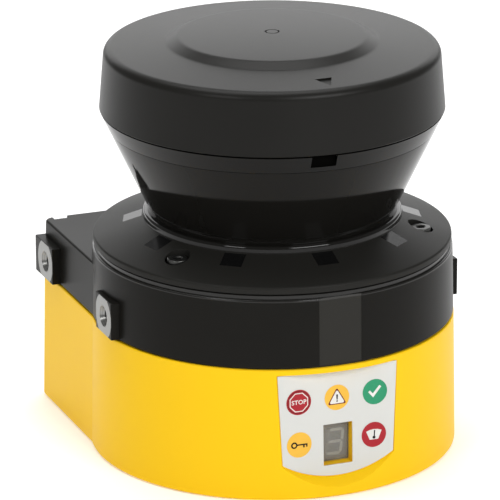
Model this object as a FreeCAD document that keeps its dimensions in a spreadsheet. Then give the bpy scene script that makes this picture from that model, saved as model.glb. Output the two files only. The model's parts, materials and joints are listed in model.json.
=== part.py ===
"""Compact safety laser scanner, modelled as a parametric document in millimetres.

The scan axis is the Z axis, the unit stands on its base at z = 0 and its front faces -Y.
From the bottom up it has a moulded lower housing with the display panel, a die-cast upper
housing with threaded mounting bosses, a dark optics cover (flange, collar and cone) and a
head cap.  Inside are a flat motor with the rotating mirror, the head with lens and laser on
a rear column, and the circuit boards.
"""
import FreeCAD, Part
import math
import os
import re

import Sketcher

V = FreeCAD.Vector

# Every size that can be set by itself, with its unit and meaning.
SIZES = [
    ("body_draft", 1.2, "degrees, draft of the housing walls"),
    ("base_radius", 50.6, "radius of the round front at the base"),
    ("side_cut", 1.2, "how far each flat side cuts into the round front"),
    ("base_rear", 54.0, "distance from the scan axis to the rear face at the base"),
    ("rear_corner", 2.5, "radius of the rear corners"),
    ("lower_height", 36.9, "height of the lower housing"),
    ("lower_wall", 2.6, "wall of the lower housing"),
    ("floor_thickness", 3.0, "floor of the lower housing"),
    ("base_round", 0.7, "rounded bottom edge"),
    ("seam_gap", 0.6, "thickness of the housing seal"),
    ("seam_inset", 0.9, "distance of the housing seal from the outer faces"),
    ("seal_width", 1.3, "width of the housing seal"),
    ("tower_step", 3.9, "height of the tower's edge over the rear deck"),
    ("deck_thickness", 3.0, "thickness of the rear deck"),
    ("deck_round", 0.7, "rounded edge of the rear deck"),
    ("upper_wall", 3.0, "wall of the upper housing"),
    ("tower_height", 56.4, "height of the round tower below its rim"),
    ("tower_round", 0.5, "rounded edge of the tower"),
    ("rim_setback", 1.9, "distance of the tower's rim inside the base radius"),
    ("rim_height", 1.2, "height of the raised rim"),
    ("rim_wall", 3.5, "wall of the rim round the seat of the optics cover"),
    ("seat_depth", 1.6, "depth of that seat below the rim"),
    ("tower_bore", 33.5, "radius of the opening in the tower"),
    ("ledge_thickness", 4.0, "thickness of the seat's ledge"),
    ("cavity_wall", 5.6, "distance of the round hollow inside the base radius"),
    ("strip_width", 12.2, "width of the flat strip on the front"),
    ("strip_depth", 0.55, "depth of the flat strip at its middle"),
    ("boss_proud", 0.4, "how far the side boss faces stand outside the base radius"),
    ("boss_rise", 5.4, "height of the side bosses over the thread axes"),
    ("boss_depth", 10.0, "depth of the front side bosses"),
    ("front_boss_y", -4.5, "middle of the front side boss"),
    ("front_boss_width", 12.2, "width of the front side boss"),
    ("rear_thread_setback", 10.0, "distance of the rear side thread from the rear face"),
    ("rear_boss_front", 6.0, "distance of the rear boss's front end from its thread"),
    ("rear_boss_depth", 12.0, "depth of the rear side bosses"),
    ("mount_rise", 5.1, "height of the thread axes over the upper housing's foot"),
    ("mount_radius", 2.1, "wall radius of the mounting threads"),
    ("side_thread_depth", 7.5, "depth of the side threads"),
    ("rear_thread_depth", 6.5, "depth of the rear threads"),
    ("rear_thread_inset", 5.8, "distance of the rear threads from the flat sides"),
    ("notch_width", 4.6, "width of the notches in the rear deck edge"),
    ("notch_depth", 2.6, "depth of those notches from the rear face"),
    ("notch_height", 2.2, "height of those notches"),
    ("cover_gap", 0.4, "thickness of the cover seal"),
    ("cover_seal_width", 2.0, "width of the cover seal"),
    ("cover_seal_inset", 0.9, "distance of the cover seal from the rim's edge"),
    ("flange_lap", 0.4, "how far the cover flange stands over the tower's rim"),
    ("flange_edge", 1.7, "thickness of the flange at its edge"),
    ("flange_rise", 4.9, "rise of the conical flange from its edge to the bead"),
    ("flange_round", 0.6, "rounded edge of the flange"),
    ("collar_radius", 35.4, "radius of the bead above the flange"),
    ("collar_height", 5.9, "height of the bead over the flange edge"),
    ("collar_round", 1.1, "rounded shoulder of the bead"),
    ("collar_foot", 0.4, "foot radius between flange and bead"),
    ("neck_radius", 34.0, "radius of the neck above the bead"),
    ("neck_height", 1.7, "height of the neck"),
    ("cone_bottom_radius", 34.4, "radius at the foot of the cone"),
    ("cone_top_radius", 43.5, "radius at the top of the cone"),
    ("cone_height", 19.4, "height of the cone"),
    ("cover_rim_radius", 43.9, "radius of the band above the cone"),
    ("cover_rim_height", 2.2, "height of the band above the cone"),
    ("cover_wall", 2.2, "wall of the optics cover"),
    ("cover_bore", 32.2, "inner radius of the neck"),
    ("fit_gap", 0.2, "clearance of parts that are fitted into each other"),
    ("front_notch_width", 7.2, "width of the notch in the front of the band"),
    ("front_notch_depth", 1.0, "depth of that notch"),
    ("front_notch_height", 2.0, "height of that notch"),
    ("window_pitch", 37.5, "degrees between the contamination windows"),
    ("window_side_count", 3, "contamination windows on each side of the front one"),
    ("window_width", 6.0, "width of a contamination window"),
    ("window_circle", 38.3, "radius at the middle of the windows"),
    ("window_length", 5.2, "radial length of a window"),
    ("window_depth", 0.3, "depth of the window faces in the flange"),
    ("cover_screw_angle", 60.0, "degrees from the front to the first cover screw"),
    ("cover_screw_circle", 40.8, "radius of the circle of cover screws"),
    ("cover_screw_radius", 1.5, "radius of the cover screw shanks"),
    ("cover_screw_head", 2.8, "radius of the cover screw heads"),
    ("cover_screw_head_height", 1.7, "height of the cover screw heads"),
    ("counterbore_radius", 3.2, "radius of the counterbores in the flange"),
    ("counterbore_floor", 1.3, "height of the counterbore floors over the flange's underside"),
    ("cap_seam", 0.4, "height of the groove under the cap"),
    ("cap_lip_radius", 44.6, "radius of the cap at its lower edge"),
    ("cap_radius", 47.0, "largest radius of the cap"),
    ("cap_chamfer", 4.9, "height of the cap's lower bevel"),
    ("cap_shoulder_radius", 45.6, "radius of the cap at its shoulder"),
    ("cap_round", 2.3, "rounded top edge of the cap"),
    ("cap_height", 22.2, "height of the cap's flat ring over the cover's band"),
    ("cap_step_radius", 30.2, "radius at the foot of the raised disc"),
    ("cap_disc_radius", 26.8, "radius of the raised disc"),
    ("cap_step", 3.8, "height of the raised disc over the flat ring"),
    ("cap_step_round", 1.0, "rounding of the raised disc's edges"),
    ("cap_wall", 2.3, "wall of the cap"),
    ("spigot_depth", 1.4, "depth of the cap's spigot in the cover"),
    ("spigot_wall", 1.8, "wall of that spigot"),
    ("gate_radius", 2.0, "radius of the gate mark on the cap"),
    ("gate_width", 0.45, "width of the gate mark's groove"),
    ("mark_depth", 0.35, "depth of the marks on the cap"),
    ("arrow_circle", 37.2, "radius at the middle of the front mark"),
    ("arrow_length", 5.6, "length of the front mark"),
    ("arrow_width", 4.8, "width of the front mark"),
    ("panel_setback", 2.7, "distance of the panel floor inside the base radius"),
    ("panel_tilt", 2.0, "degrees that the panel floor leans back"),
    ("panel_border", 1.5, "wall left above the panel"),
    ("panel_top_half", 17.4, "half width of the panel at its top"),
    ("panel_low", 9.6, "height of the panel's lower corners"),
    ("panel_low_half", 16.2, "half width of the panel at its lower corners"),
    ("panel_bottom", 4.9, "height of the bowed lower edge at the middle"),
    ("scoop_reach", 4.0, "how far forward the scoop below the panel runs"),
    ("scoop_drop", 3.3, "how far down the scoop runs over that reach"),
    ("scoop_spread", 2.6, "how far the scoop spreads to each side"),
    ("label_thickness", 0.3, "thickness of the display label"),
    ("label_gap", 0.3, "gap round the display label"),
    ("panel_wall", 3.3, "wall behind the panel at the base"),
    ("glass_width", 8.4, "width of the display opening"),
    ("glass_height", 11.6, "height of the display opening"),
    ("glass_middle", 14.0, "height of the middle of the display opening"),
    ("glass_thickness", 0.7, "thickness of the display window"),
    ("lamp_pitch", 11.2, "distance between the indicators"),
    ("lamp_drop", 8.0, "distance of the upper indicators below the panel's top"),
    ("lamp_lower", 15.8, "height of the lower indicators"),
    ("guide_radius", 1.6, "radius of the light guides"),
    ("lamp_size", 2.4, "edge of the square light sources"),
    ("lamp_height", 1.2, "height of the light sources"),
    ("display_board_gap", 4.2, "distance from the inner front wall to the board's face"),
    ("board_thickness", 1.6, "thickness of the circuit boards"),
    ("display_board_half", 17.0, "half width of the display board"),
    ("display_board_low", 6.5, "lower edge of the display board"),
    ("board_top_gap", 3.9, "distance of the display board's top from the seam"),
    ("bay_half", 26.0, "half width of the connector bay"),
    ("bay_low", 4.0, "height of the bay's floor"),
    ("bay_high", 27.0, "height of the bay's ceiling"),
    ("bay_depth", 12.5, "depth of the connector bay"),
    ("bay_wall", 2.6, "wall at the inner end of the bay"),
    ("bay_roof", 3.0, "wall above the bay"),
    ("bay_round", 2.0, "corner radius of the bay"),
    ("plug_height", 15.0, "height of the connector axes"),
    ("system_x", -15.5, "place of the system connector"),
    ("system_radius", 6.0, "radius of the system connector's thread"),
    ("system_flange", 8.8, "radius of the system connector's flange"),
    ("config_x", 16.5, "place of the configuration connector"),
    ("config_radius", 4.0, "radius of the configuration connector's thread"),
    ("config_flange", 6.4, "radius of the configuration connector's flange"),
    ("plug_wall", 1.1, "wall of the connector sleeves"),
    ("plug_flange_thickness", 2.0, "thickness of the connector flanges"),
    ("plug_length", 7.8, "length of the sleeves in front of the flanges"),
    ("plug_nut_thickness", 2.2, "thickness of the nuts behind the bay wall"),
    ("pin_radius", 0.5, "radius of the contact pins"),
    ("pin_length", 4.4, "length of the contact pins in front of the insert"),
    ("insert_length", 2.8, "how far the insert stands in the sleeve"),
    ("tie_screw_radius", 2.0, "radius of the housing screws"),
    ("tie_head_radius", 3.6, "radius of the housing screw heads"),
    ("tie_head_height", 3.0, "height of the housing screw heads"),
    ("tie_recess", 4.2, "depth of the recesses for those heads"),
    ("tie_post_radius", 4.6, "radius of the posts round the housing screws"),
    ("tie_front_x", 33.5, "sideways place of the front housing screws"),
    ("tie_front_y", -28.0, "place of the front housing screws along Y"),
    ("tie_rear_x", 32.5, "sideways place of the rear housing screws"),
    ("tie_rear_setback", 7.5, "distance of the rear housing screws from the rear face"),
    ("tie_grip", 8.0, "length of the thread of the housing screws"),
    ("frame_thickness", 4.0, "thickness of the optics frame's ring"),
    ("frame_radius", 40.5, "outer radius of the optics frame's ring"),
    ("frame_bore", 25.5, "inner radius of the optics frame's ring"),
    ("frame_screw_circle", 37.0, "radius of the circle of frame screws"),
    ("frame_screw_angle", 20.0, "degrees from the front to the first frame screw"),
    ("thread_gap", 0.05, "radial gap between a screw and its thread"),
    ("column_inner", 27.8, "inner radius of the rear column"),
    ("column_outer", 30.4, "outer radius of the rear column"),
    ("column_half_angle", 30.0, "degrees from the rear to each edge of the column"),
    ("head_gap", 1.7, "gap between the mirror carrier and the head ring"),
    ("head_ring_thickness", 3.3, "thickness of the head ring"),
    ("head_ring_radius", 38.6, "outer radius of the head ring"),
    ("head_ring_bore", 18.6, "radius of the light opening in the head ring"),
    ("lens_radius", 20.0, "radius of the receiver lens"),
    ("lens_edge", 2.2, "edge thickness of the receiver lens"),
    ("lens_dome", 3.4, "height of the lens dome over its edge"),
    ("holder_radius", 24.0, "outer radius of the lens holder"),
    ("holder_height", 9.0, "height of the lens holder"),
    ("holder_wall", 2.4, "wall of the lens holder above the lens"),
    ("laser_radius", 4.0, "radius of the laser module"),
    ("laser_length", 12.5, "length of the laser module"),
    ("beam_radius", 2.2, "radius of the laser's outlet"),
    ("receiver_board_radius", 34.0, "radius of the receiver board"),
    ("receiver_distance", 14.1, "height of the receiver board over the head ring"),
    ("diode_radius", 4.6, "radius of the photodiode can"),
    ("diode_height", 2.4, "height of the photodiode can"),
    ("spacer_circle", 30.5, "radius of the circle of head spacers"),
    ("spacer_radius", 2.6, "radius of the spacers"),
    ("small_screw_radius", 1.25, "radius of the small screws"),
    ("small_head_radius", 2.3, "radius of the small screw heads"),
    ("small_head_height", 1.5, "height of the small screw heads"),
    ("small_screw_length", 5.0, "shank length of the small screws"),
    ("screw_clearance", 0.2, "radial clearance round screw shanks"),
    ("cup_flange_thickness", 2.0, "thickness of the motor cup's flange"),
    ("cup_flange_radius", 30.0, "radius of the motor cup's flange"),
    ("cup_radius", 25.2, "outer radius of the motor cup"),
    ("cup_wall", 2.0, "wall of the motor cup"),
    ("cup_depth", 20.0, "depth of the motor cup"),
    ("cup_floor", 2.5, "thickness of the motor cup's floor"),
    ("cup_screw_circle", 27.7, "radius of the circle of cup screws"),
    ("tube_radius", 7.5, "outer radius of the bearing tube"),
    ("bearing_radius", 5.5, "outer radius of the bearings"),
    ("bearing_width", 4.0, "width of the bearings"),
    ("bearing_rise", 4.0, "height of the lower bearing over the cup's bottom"),
    ("spindle_radius", 2.0, "radius of the spindle"),
    ("running_fit", 0.03, "radial clearance of the spindle in its bearings"),
    ("spindle_tail", 0.8, "length of the spindle below the lower bearing"),
    ("stator_rise", 7.4, "height of the stator core over the cup's bottom"),
    ("stator_height", 6.0, "height of the stator core"),
    ("stator_radius", 17.4, "outer radius of the stator"),
    ("stator_hub", 10.2, "radius of the stator's inner ring"),
    ("tooth_count", 9, "number of stator teeth"),
    ("tooth_width", 2.6, "width of a stator tooth"),
    ("shoe_thickness", 1.5, "thickness of the stator's pole shoes"),
    ("shoe_slot_angle", 3.0, "degrees from a pole shoe's end to the middle of the slot beside it"),
    ("coil_width", 1.1, "width of the winding beside a tooth"),
    ("coil_overhang", 1.2, "height of the winding over the core"),
    ("air_gap", 0.4, "gap between stator and magnet"),
    ("magnet_thickness", 2.1, "thickness of the magnet ring"),
    ("magnet_height", 9.0, "height of the magnet ring"),
    ("bell_wall", 1.5, "wall of the rotor bell"),
    ("bell_rise", 3.4, "height of the rotor bell over the motor cup"),
    ("bell_thickness", 2.0, "thickness of the rotor bell's top"),
    ("hub_radius", 5.4, "radius of the rotor's hub"),
    ("hub_rise", 3.2, "height of the rotor's hub over the bell"),
    ("disc_radius", 26.8, "radius of the encoder disc"),
    ("disc_thickness", 0.6, "thickness of the encoder disc"),
    ("slot_count", 36, "number of slots in the encoder disc"),
    ("slot_length", 2.6, "length of the slots in the encoder disc"),
    ("carrier_foot_radius", 17.0, "radius of the mirror carrier's foot"),
    ("carrier_foot_height", 3.0, "height of the mirror carrier's foot"),
    ("carrier_radius", 15.0, "radius of the mirror carrier's body"),
    ("mirror_rise", 18.6, "height of the mirror's middle over the rotor's hub"),
    ("mirror_width", 33.0, "width of the mirror"),
    ("mirror_length", 34.5, "length of the mirror along its slope"),
    ("mirror_thickness", 2.4, "thickness of the mirror"),
    ("mirror_corner", 7.0, "corner radius of the mirror"),
    ("carrier_rise", 11.3, "height of the mirror carrier over the mirror's middle"),
    ("fork_reach", 23.2, "distance of the encoder fork's inner face from the axis"),
    ("fork_depth", 6.2, "depth of the encoder fork"),
    ("fork_width", 9.0, "width of the encoder fork"),
    ("fork_height", 7.0, "height of the encoder fork"),
    ("fork_slot", 2.2, "height of the encoder fork's slot"),
    ("motor_board_radius", 21.0, "radius of the motor board"),
    ("power_board_height", 8.0, "height of the power board's underside"),
    ("board_spacing", 11.0, "distance between the two large boards"),
    ("board_half", 28.0, "half width of the large boards"),
    ("board_front", 36.0, "distance of the large boards' front edge from the axis"),
    ("board_gap", 7.5, "distance from the connector bay to the large boards"),
    ("board_post_x", 24.0, "sideways place of the board posts"),
    ("board_post_front", -30.0, "place of the front board posts along Y"),
    ("board_post_inset", 5.0, "distance of the rear board posts from the rear edge"),
    ("board_post_radius", 3.4, "radius of the board posts"),
    ("ribbon_width", 12.0, "width of the ribbon cable"),
    ("ribbon_thickness", 0.6, "thickness of the ribbon cable"),
    ("ribbon_slot", 0.5, "clearance of the slots that the ribbon cable passes"),
    ("sensor_depth", 3.0, "depth of the pockets for the contamination sensors"),
    ("sensor_length", 4.6, "radial length of the contamination sensors"),
    ("sensor_width", 6.4, "width of the contamination sensors"),
    ("sensor_circle", 37.8, "radius at the middle of the contamination sensors"),
    ("tube_step", 1.0, "width of the step on the bearing tube below the stator"),
    ("bearing_shoulder", 1.0, "width of the shoulder between the bearings"),
    ("hub_gap", 0.6, "gap between the rotor's hub and the upper bearing"),
    ("clip_radius", 3.4, "radius of the clip at the spindle's lower end"),
    ("clip_thickness", 0.4, "thickness of that clip"),
    ("carrier_bore", 2.0, "radius of the spindle's seat in hub, disc and carrier"),
    ("spindle_rise", 2.6, "length of the spindle over the rotor's hub"),
    ("spacer_stud", 3.0, "length of the studs below the head spacers"),
    ("bridge_width", 9.0, "width of the bar that holds the laser module"),
    ("bridge_thickness", 2.0, "thickness of that bar"),
    ("lens_seat", 1.5, "thickness of the shelf below the lens"),
    ("chip_height", 1.4, "height of the flat circuits"),
    ("tall_part", 5.0, "height of the tall parts on the boards"),
    ("post_width", 5.5, "width across the board spacers"),
    ("contact_circle", 0.6, "circle of the contacts as a share of the insert's radius"),
    ("plug_tail", 4.4, "length of the connector tails behind the bay wall"),
    ("protective_wall", 1.4, "wall of the protective cap over the sleeve"),
    ("digit_depth", 2.6, "depth of the digit display"),
    ("label_inset", 0.25, "distance of the label's edge from the panel's edge"),
]

# Sizes that follow from the ones above, with the formula that the sheet's cell holds.
LINKED = [
    ("base_flat", "base_radius - side_cut", "half width over the flat side walls at the base"),
    ("deck_height", "tower_height - tower_step", "height of the rear deck"),
    ("rim_radius", "base_radius - rim_setback", "radius of the raised rim on the tower"),
    ("seat_radius", "rim_radius - rim_wall", "radius of the seat that takes the optics cover"),
    ("cavity_radius", "base_radius - cavity_wall", "radius of the hollow under the ledge"),
    ("boss_reach", "base_radius + boss_proud", "distance of the side boss faces from the middle plane"),
    ("boss_root", "boss_reach - boss_depth", "inner end of the side bosses"),
    ("rear_boss_root", "boss_reach - rear_boss_depth", "inner end of the rear side boss"),
    ("boss_top", "mount_height + boss_rise", "height of the side bosses"),
    ("mount_height", "lower_height + seam_gap + mount_rise", "height of all mounting threads"),
    ("rear_boss_y", "base_rear - rear_thread_setback", "axis of the rear side thread"),
    ("rear_boss_start", "rear_boss_y - rear_boss_front", "front end of the rear side boss"),
    ("rear_thread_x", "base_flat - rear_thread_inset",
     "distance of the rear threads from the middle plane"),
    ("cover_seal_inner", "cover_seal_outer - cover_seal_width", "inner radius of the cover seal"),
    ("cover_seal_outer", "rim_radius - cover_seal_inset", "outer radius of the cover seal"),
    ("flange_radius", "rim_radius + flange_lap", "radius of the cover flange"),
    ("cone_top",
     "tower_height + rim_height + cover_gap + flange_edge +"
     " collar_height + collar_round + neck_height + cone_height",
     "height of the top of the cone"),
    ("cap_ring", "cone_top + cover_rim_height + cap_height", "height of the flat ring on the cap"),
    ("cap_top", "cap_ring + cap_step", "overall height"),
    ("panel_floor", "base_radius - panel_setback",
     "distance of the panel floor from the scan axis at the base"),
    ("panel_top", "lower_height - panel_border", "height of the panel's top edge"),
    ("front_wall_inside", "panel_floor - panel_wall",
     "distance of the inner front wall from the scan axis"),
    ("lamp_upper", "panel_top - lamp_drop", "height of the upper indicators"),
    ("display_board_y", "front_wall_inside - display_board_gap",
     "distance of the display board's face from the scan axis"),
    ("tie_rear_y", "base_rear - tie_rear_setback", "place of the rear housing screws along Y"),
    ("head_ring_bottom", "carrier_top + head_gap", "height of the underside of the head ring"),
    ("receiver_board_height", "head_ring_bottom + head_ring_thickness + receiver_distance",
     "height of the receiver board's underside"),
    ("cup_bottom",
     "tower_height + rim_height - seat_depth - ledge_thickness -"
     " frame_thickness - cup_depth",
     "height of the motor cup's bottom"),
    ("bearing_low", "cup_bottom + bearing_rise", "height of the lower bearing"),
    ("spindle_bottom", "bearing_low - spindle_tail", "lower end of the spindle"),
    ("stator_bottom", "cup_bottom + stator_rise", "height of the stator core's underside"),
    ("bell_top", "cup_bottom + cup_depth + bell_rise", "height of the rotor bell's top face"),
    ("hub_top", "bell_top + hub_rise", "height of the rotor's hub"),
    ("mirror_centre", "hub_top + mirror_rise", "height where the mirror meets the scan axis"),
    ("carrier_top", "mirror_centre + carrier_rise", "height of the mirror carrier"),
    ("magnet_middle", "stator_bottom + stator_height / 2", "height of the middle of the magnet ring"),
    ("spindle_top", "hub_top + spindle_rise", "upper end of the spindle"),
    ("board_rear", "base_rear - bay_depth - board_gap",
     "distance of the large boards' rear edge from the axis"),
    ("board_post_rear", "board_rear - board_post_inset", "place of the rear board posts along Y"),
    ("display_board_high", "lower_height - board_top_gap", "upper edge of the display board"),
]

doc = FreeCAD.newDocument("SafetyLaserScanner")
sheet = doc.addObject("Spreadsheet::Sheet", "Sizes")
ROWS = [(alias, str(value), remark) for alias, value, remark in SIZES]
ROWS += [(alias, "=" + formula, remark) for alias, formula, remark in LINKED]
for row, (alias, value, remark) in enumerate(ROWS, start=1):
    sheet.set("A%d" % row, alias)
    sheet.setAlias("B%d" % row, alias)
    sheet.set("C%d" % row, remark)
for row, (alias, value, remark) in enumerate(ROWS, start=1):
    sheet.set("B%d" % row, value)
doc.recompute()

ALIASES = {alias for alias, value, remark in ROWS}

# Heights and radii that follow from the sizes above, as expressions on the sheet.
SHRINK = "tan(body_draft)"
UPPER_BOTTOM = "(lower_height + seam_gap)"
RIM_TOP = "(tower_height + rim_height)"
SEAT = "(tower_height + rim_height - seat_depth)"
LEDGE_BOTTOM = "(tower_height + rim_height - seat_depth - ledge_thickness)"
FLANGE_BOTTOM = "(tower_height + rim_height + cover_gap)"
FLANGE_TOP = "(tower_height + rim_height + cover_gap + flange_edge)"
COLLAR_TOP = "(tower_height + rim_height + cover_gap + flange_edge + collar_height)"
CONE_BOTTOM = "(%s + collar_round + neck_height)" % COLLAR_TOP
COVER_TOP = "(cone_top + cover_rim_height)"
FRAME_BOTTOM = "(%s - frame_thickness)" % LEDGE_BOTTOM
HEAD_RING_TOP = "(head_ring_bottom + head_ring_thickness)"
BEARING_TOP = FRAME_BOTTOM
BELL_RADIUS = "(stator_radius + air_gap + magnet_thickness + bell_wall)"
DISC_TOP = "(hub_top + disc_thickness)"
SHOE_HALF_TURN = "(180 / tooth_count - shoe_slot_angle)"
BAY_INNER = "(base_rear - bay_depth)"
POWER_TOP = "(power_board_height + board_thickness)"
MAIN_BOARD = "(power_board_height + board_spacing)"
MAIN_TOP = "(power_board_height + board_spacing + board_thickness)"


def bound(expression):
    """The expression with every size's alias pointed at the sheet."""
    def point(match):
        word = match.group(0)
        return "Sizes." + word if word in ALIASES else word
    return re.sub(r"[a-z][a-z_]*", point, expression)


def number(expression):
    """The value of an expression on the sheet, in millimetres or degrees."""
    result = sheet.evalExpression(bound(expression))
    return float(getattr(result, "Value", result))


def tie(sketch, constraint, expression):
    """Add a constraint to a sketch and bind its value to an expression."""
    index = sketch.addConstraint(constraint)
    sketch.setExpression("Constraints[%d]" % index, bound(expression))


def place(sketch, shape, point, x, y):
    """Fix a point of a sketch shape at x, y, both expressions."""
    if x == "0":
        sketch.addConstraint(Sketcher.Constraint("PointOnObject", shape, point, -2))
    else:
        tie(sketch, Sketcher.Constraint("DistanceX", -1, 1, shape, point, number(x)), x)
    if y == "0":
        sketch.addConstraint(Sketcher.Constraint("PointOnObject", shape, point, -1))
    else:
        tie(sketch, Sketcher.Constraint("DistanceY", -1, 1, shape, point, number(y)), y)


def circle(radius, x="0", y="0"):
    """A circle round x, y."""
    def draw(sketch):
        centre = V(number(x), number(y), 0)
        shape = sketch.addGeometry(Part.Circle(centre, V(0, 0, 1), number(radius)))
        place(sketch, shape, 3, x, y)
        tie(sketch, Sketcher.Constraint("Radius", shape, number(radius)), radius)
    return draw


def polygon(points):
    """A closed line through points, each a pair of expressions."""
    def draw(sketch):
        corners = [V(number(x), number(y), 0) for x, y in points]
        lines = []
        for start, end in zip(corners, corners[1:] + corners[:1]):
            lines.append(sketch.addGeometry(Part.LineSegment(start, end)))
        for line, following in zip(lines, lines[1:] + lines[:1]):
            sketch.addConstraint(Sketcher.Constraint("Coincident", line, 2, following, 1))
        for line, (x, y) in zip(lines, points):
            place(sketch, line, 1, x, y)
    return draw


def rectangle(left, right, low, high):
    """A rectangle between two x and two y expressions."""
    return polygon([(left, low), (right, low), (right, high), (left, high)])


def housing_outline(radius, flat, rear, front=None):
    """The plan of the housing: round front, flat sides and flat rear, with an optional
    flat front where the wall is thickened behind the display panel."""
    def draw(sketch):
        reach, half, back = number(radius), number(flat), number(rear)
        meet = math.acos(half / reach)
        origin = Part.Circle(V(0, 0, 0), V(0, 0, 1), reach)
        side_y = reach * math.sin(meet)
        corners = [V(half, side_y, 0), V(half, back, 0), V(-half, back, 0), V(-half, side_y, 0)]
        lines = []
        for start, end in zip(corners, corners[1:]):
            lines.append(sketch.addGeometry(Part.LineSegment(start, end)))
        if front is None:
            arcs = [sketch.addGeometry(Part.ArcOfCircle(origin, math.pi - meet, 2 * math.pi + meet))]
        else:
            ahead = number(front)
            turn = math.asin(ahead / reach)
            chord = reach * math.cos(turn)
            arcs = [
                sketch.addGeometry(Part.ArcOfCircle(origin, math.pi - meet, math.pi + turn)),
                sketch.addGeometry(Part.ArcOfCircle(origin, 2 * math.pi - turn, 2 * math.pi + meet)),
            ]
            face = sketch.addGeometry(
                Part.LineSegment(V(-chord, -ahead, 0), V(chord, -ahead, 0)))
            sketch.addConstraint(Sketcher.Constraint("Coincident", arcs[0], 2, face, 1))
            sketch.addConstraint(Sketcher.Constraint("Coincident", face, 2, arcs[1], 1))
            sketch.addConstraint(Sketcher.Constraint("Horizontal", face))
            tie(sketch, Sketcher.Constraint("DistanceY", -1, 1, face, 1, -ahead), "-" + front)
        sketch.addConstraint(Sketcher.Constraint("Coincident", lines[0], 2, lines[1], 1))
        sketch.addConstraint(Sketcher.Constraint("Coincident", lines[1], 2, lines[2], 1))
        sketch.addConstraint(Sketcher.Constraint("Coincident", lines[2], 2, arcs[0], 1))
        sketch.addConstraint(Sketcher.Constraint("Coincident", arcs[-1], 2, lines[0], 1))
        for arc in arcs:
            sketch.addConstraint(Sketcher.Constraint("Coincident", arc, 3, -1, 1))
            tie(sketch, Sketcher.Constraint("Radius", arc, reach), radius)
        sketch.addConstraint(Sketcher.Constraint("Vertical", lines[0]))
        sketch.addConstraint(Sketcher.Constraint("Vertical", lines[2]))
        sketch.addConstraint(Sketcher.Constraint("Horizontal", lines[1]))
        tie(sketch, Sketcher.Constraint("DistanceX", -1, 1, lines[0], 2, half), flat)
        tie(sketch, Sketcher.Constraint("DistanceX", -1, 1, lines[2], 1, -half), "-(%s)" % flat)
        tie(sketch, Sketcher.Constraint("DistanceY", -1, 1, lines[1], 1, back), rear)
    return draw


def bowed_panel(top, top_half, low, low_half, bottom):
    """The display panel's outline: straight top, leaning sides and a bowed lower edge."""
    def draw(sketch):
        corners = [
            (low_half, low),
            (top_half, top),
            ("-(%s)" % top_half, top),
            ("-(%s)" % low_half, low),
        ]
        points = [V(number(x), number(y), 0) for x, y in corners]
        lines = []
        for start, end in zip(points, points[1:]):
            lines.append(sketch.addGeometry(Part.LineSegment(start, end)))
        middle = V(0, number(bottom), 0)
        bow = sketch.addGeometry(Part.Arc(points[3], middle, points[0]))
        sketch.addConstraint(Sketcher.Constraint("Coincident", lines[0], 2, lines[1], 1))
        sketch.addConstraint(Sketcher.Constraint("Coincident", lines[1], 2, lines[2], 1))
        sketch.addConstraint(Sketcher.Constraint("Coincident", lines[2], 2, bow, 1))
        sketch.addConstraint(Sketcher.Constraint("Coincident", bow, 2, lines[0], 1))
        for line, (x, y) in zip(lines, corners):
            place(sketch, line, 1, x, y)
        place(sketch, lines[2], 2, *corners[3])
        half, rise = "(%s)" % low_half, "(%s - (%s))" % (low, bottom)
        bow_radius = "((%s ^ 2 + %s ^ 2) / (2 * %s))" % (half, rise, rise)
        tie(sketch, Sketcher.Constraint("Radius", bow, number(bow_radius)), bow_radius)
    return draw


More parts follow.
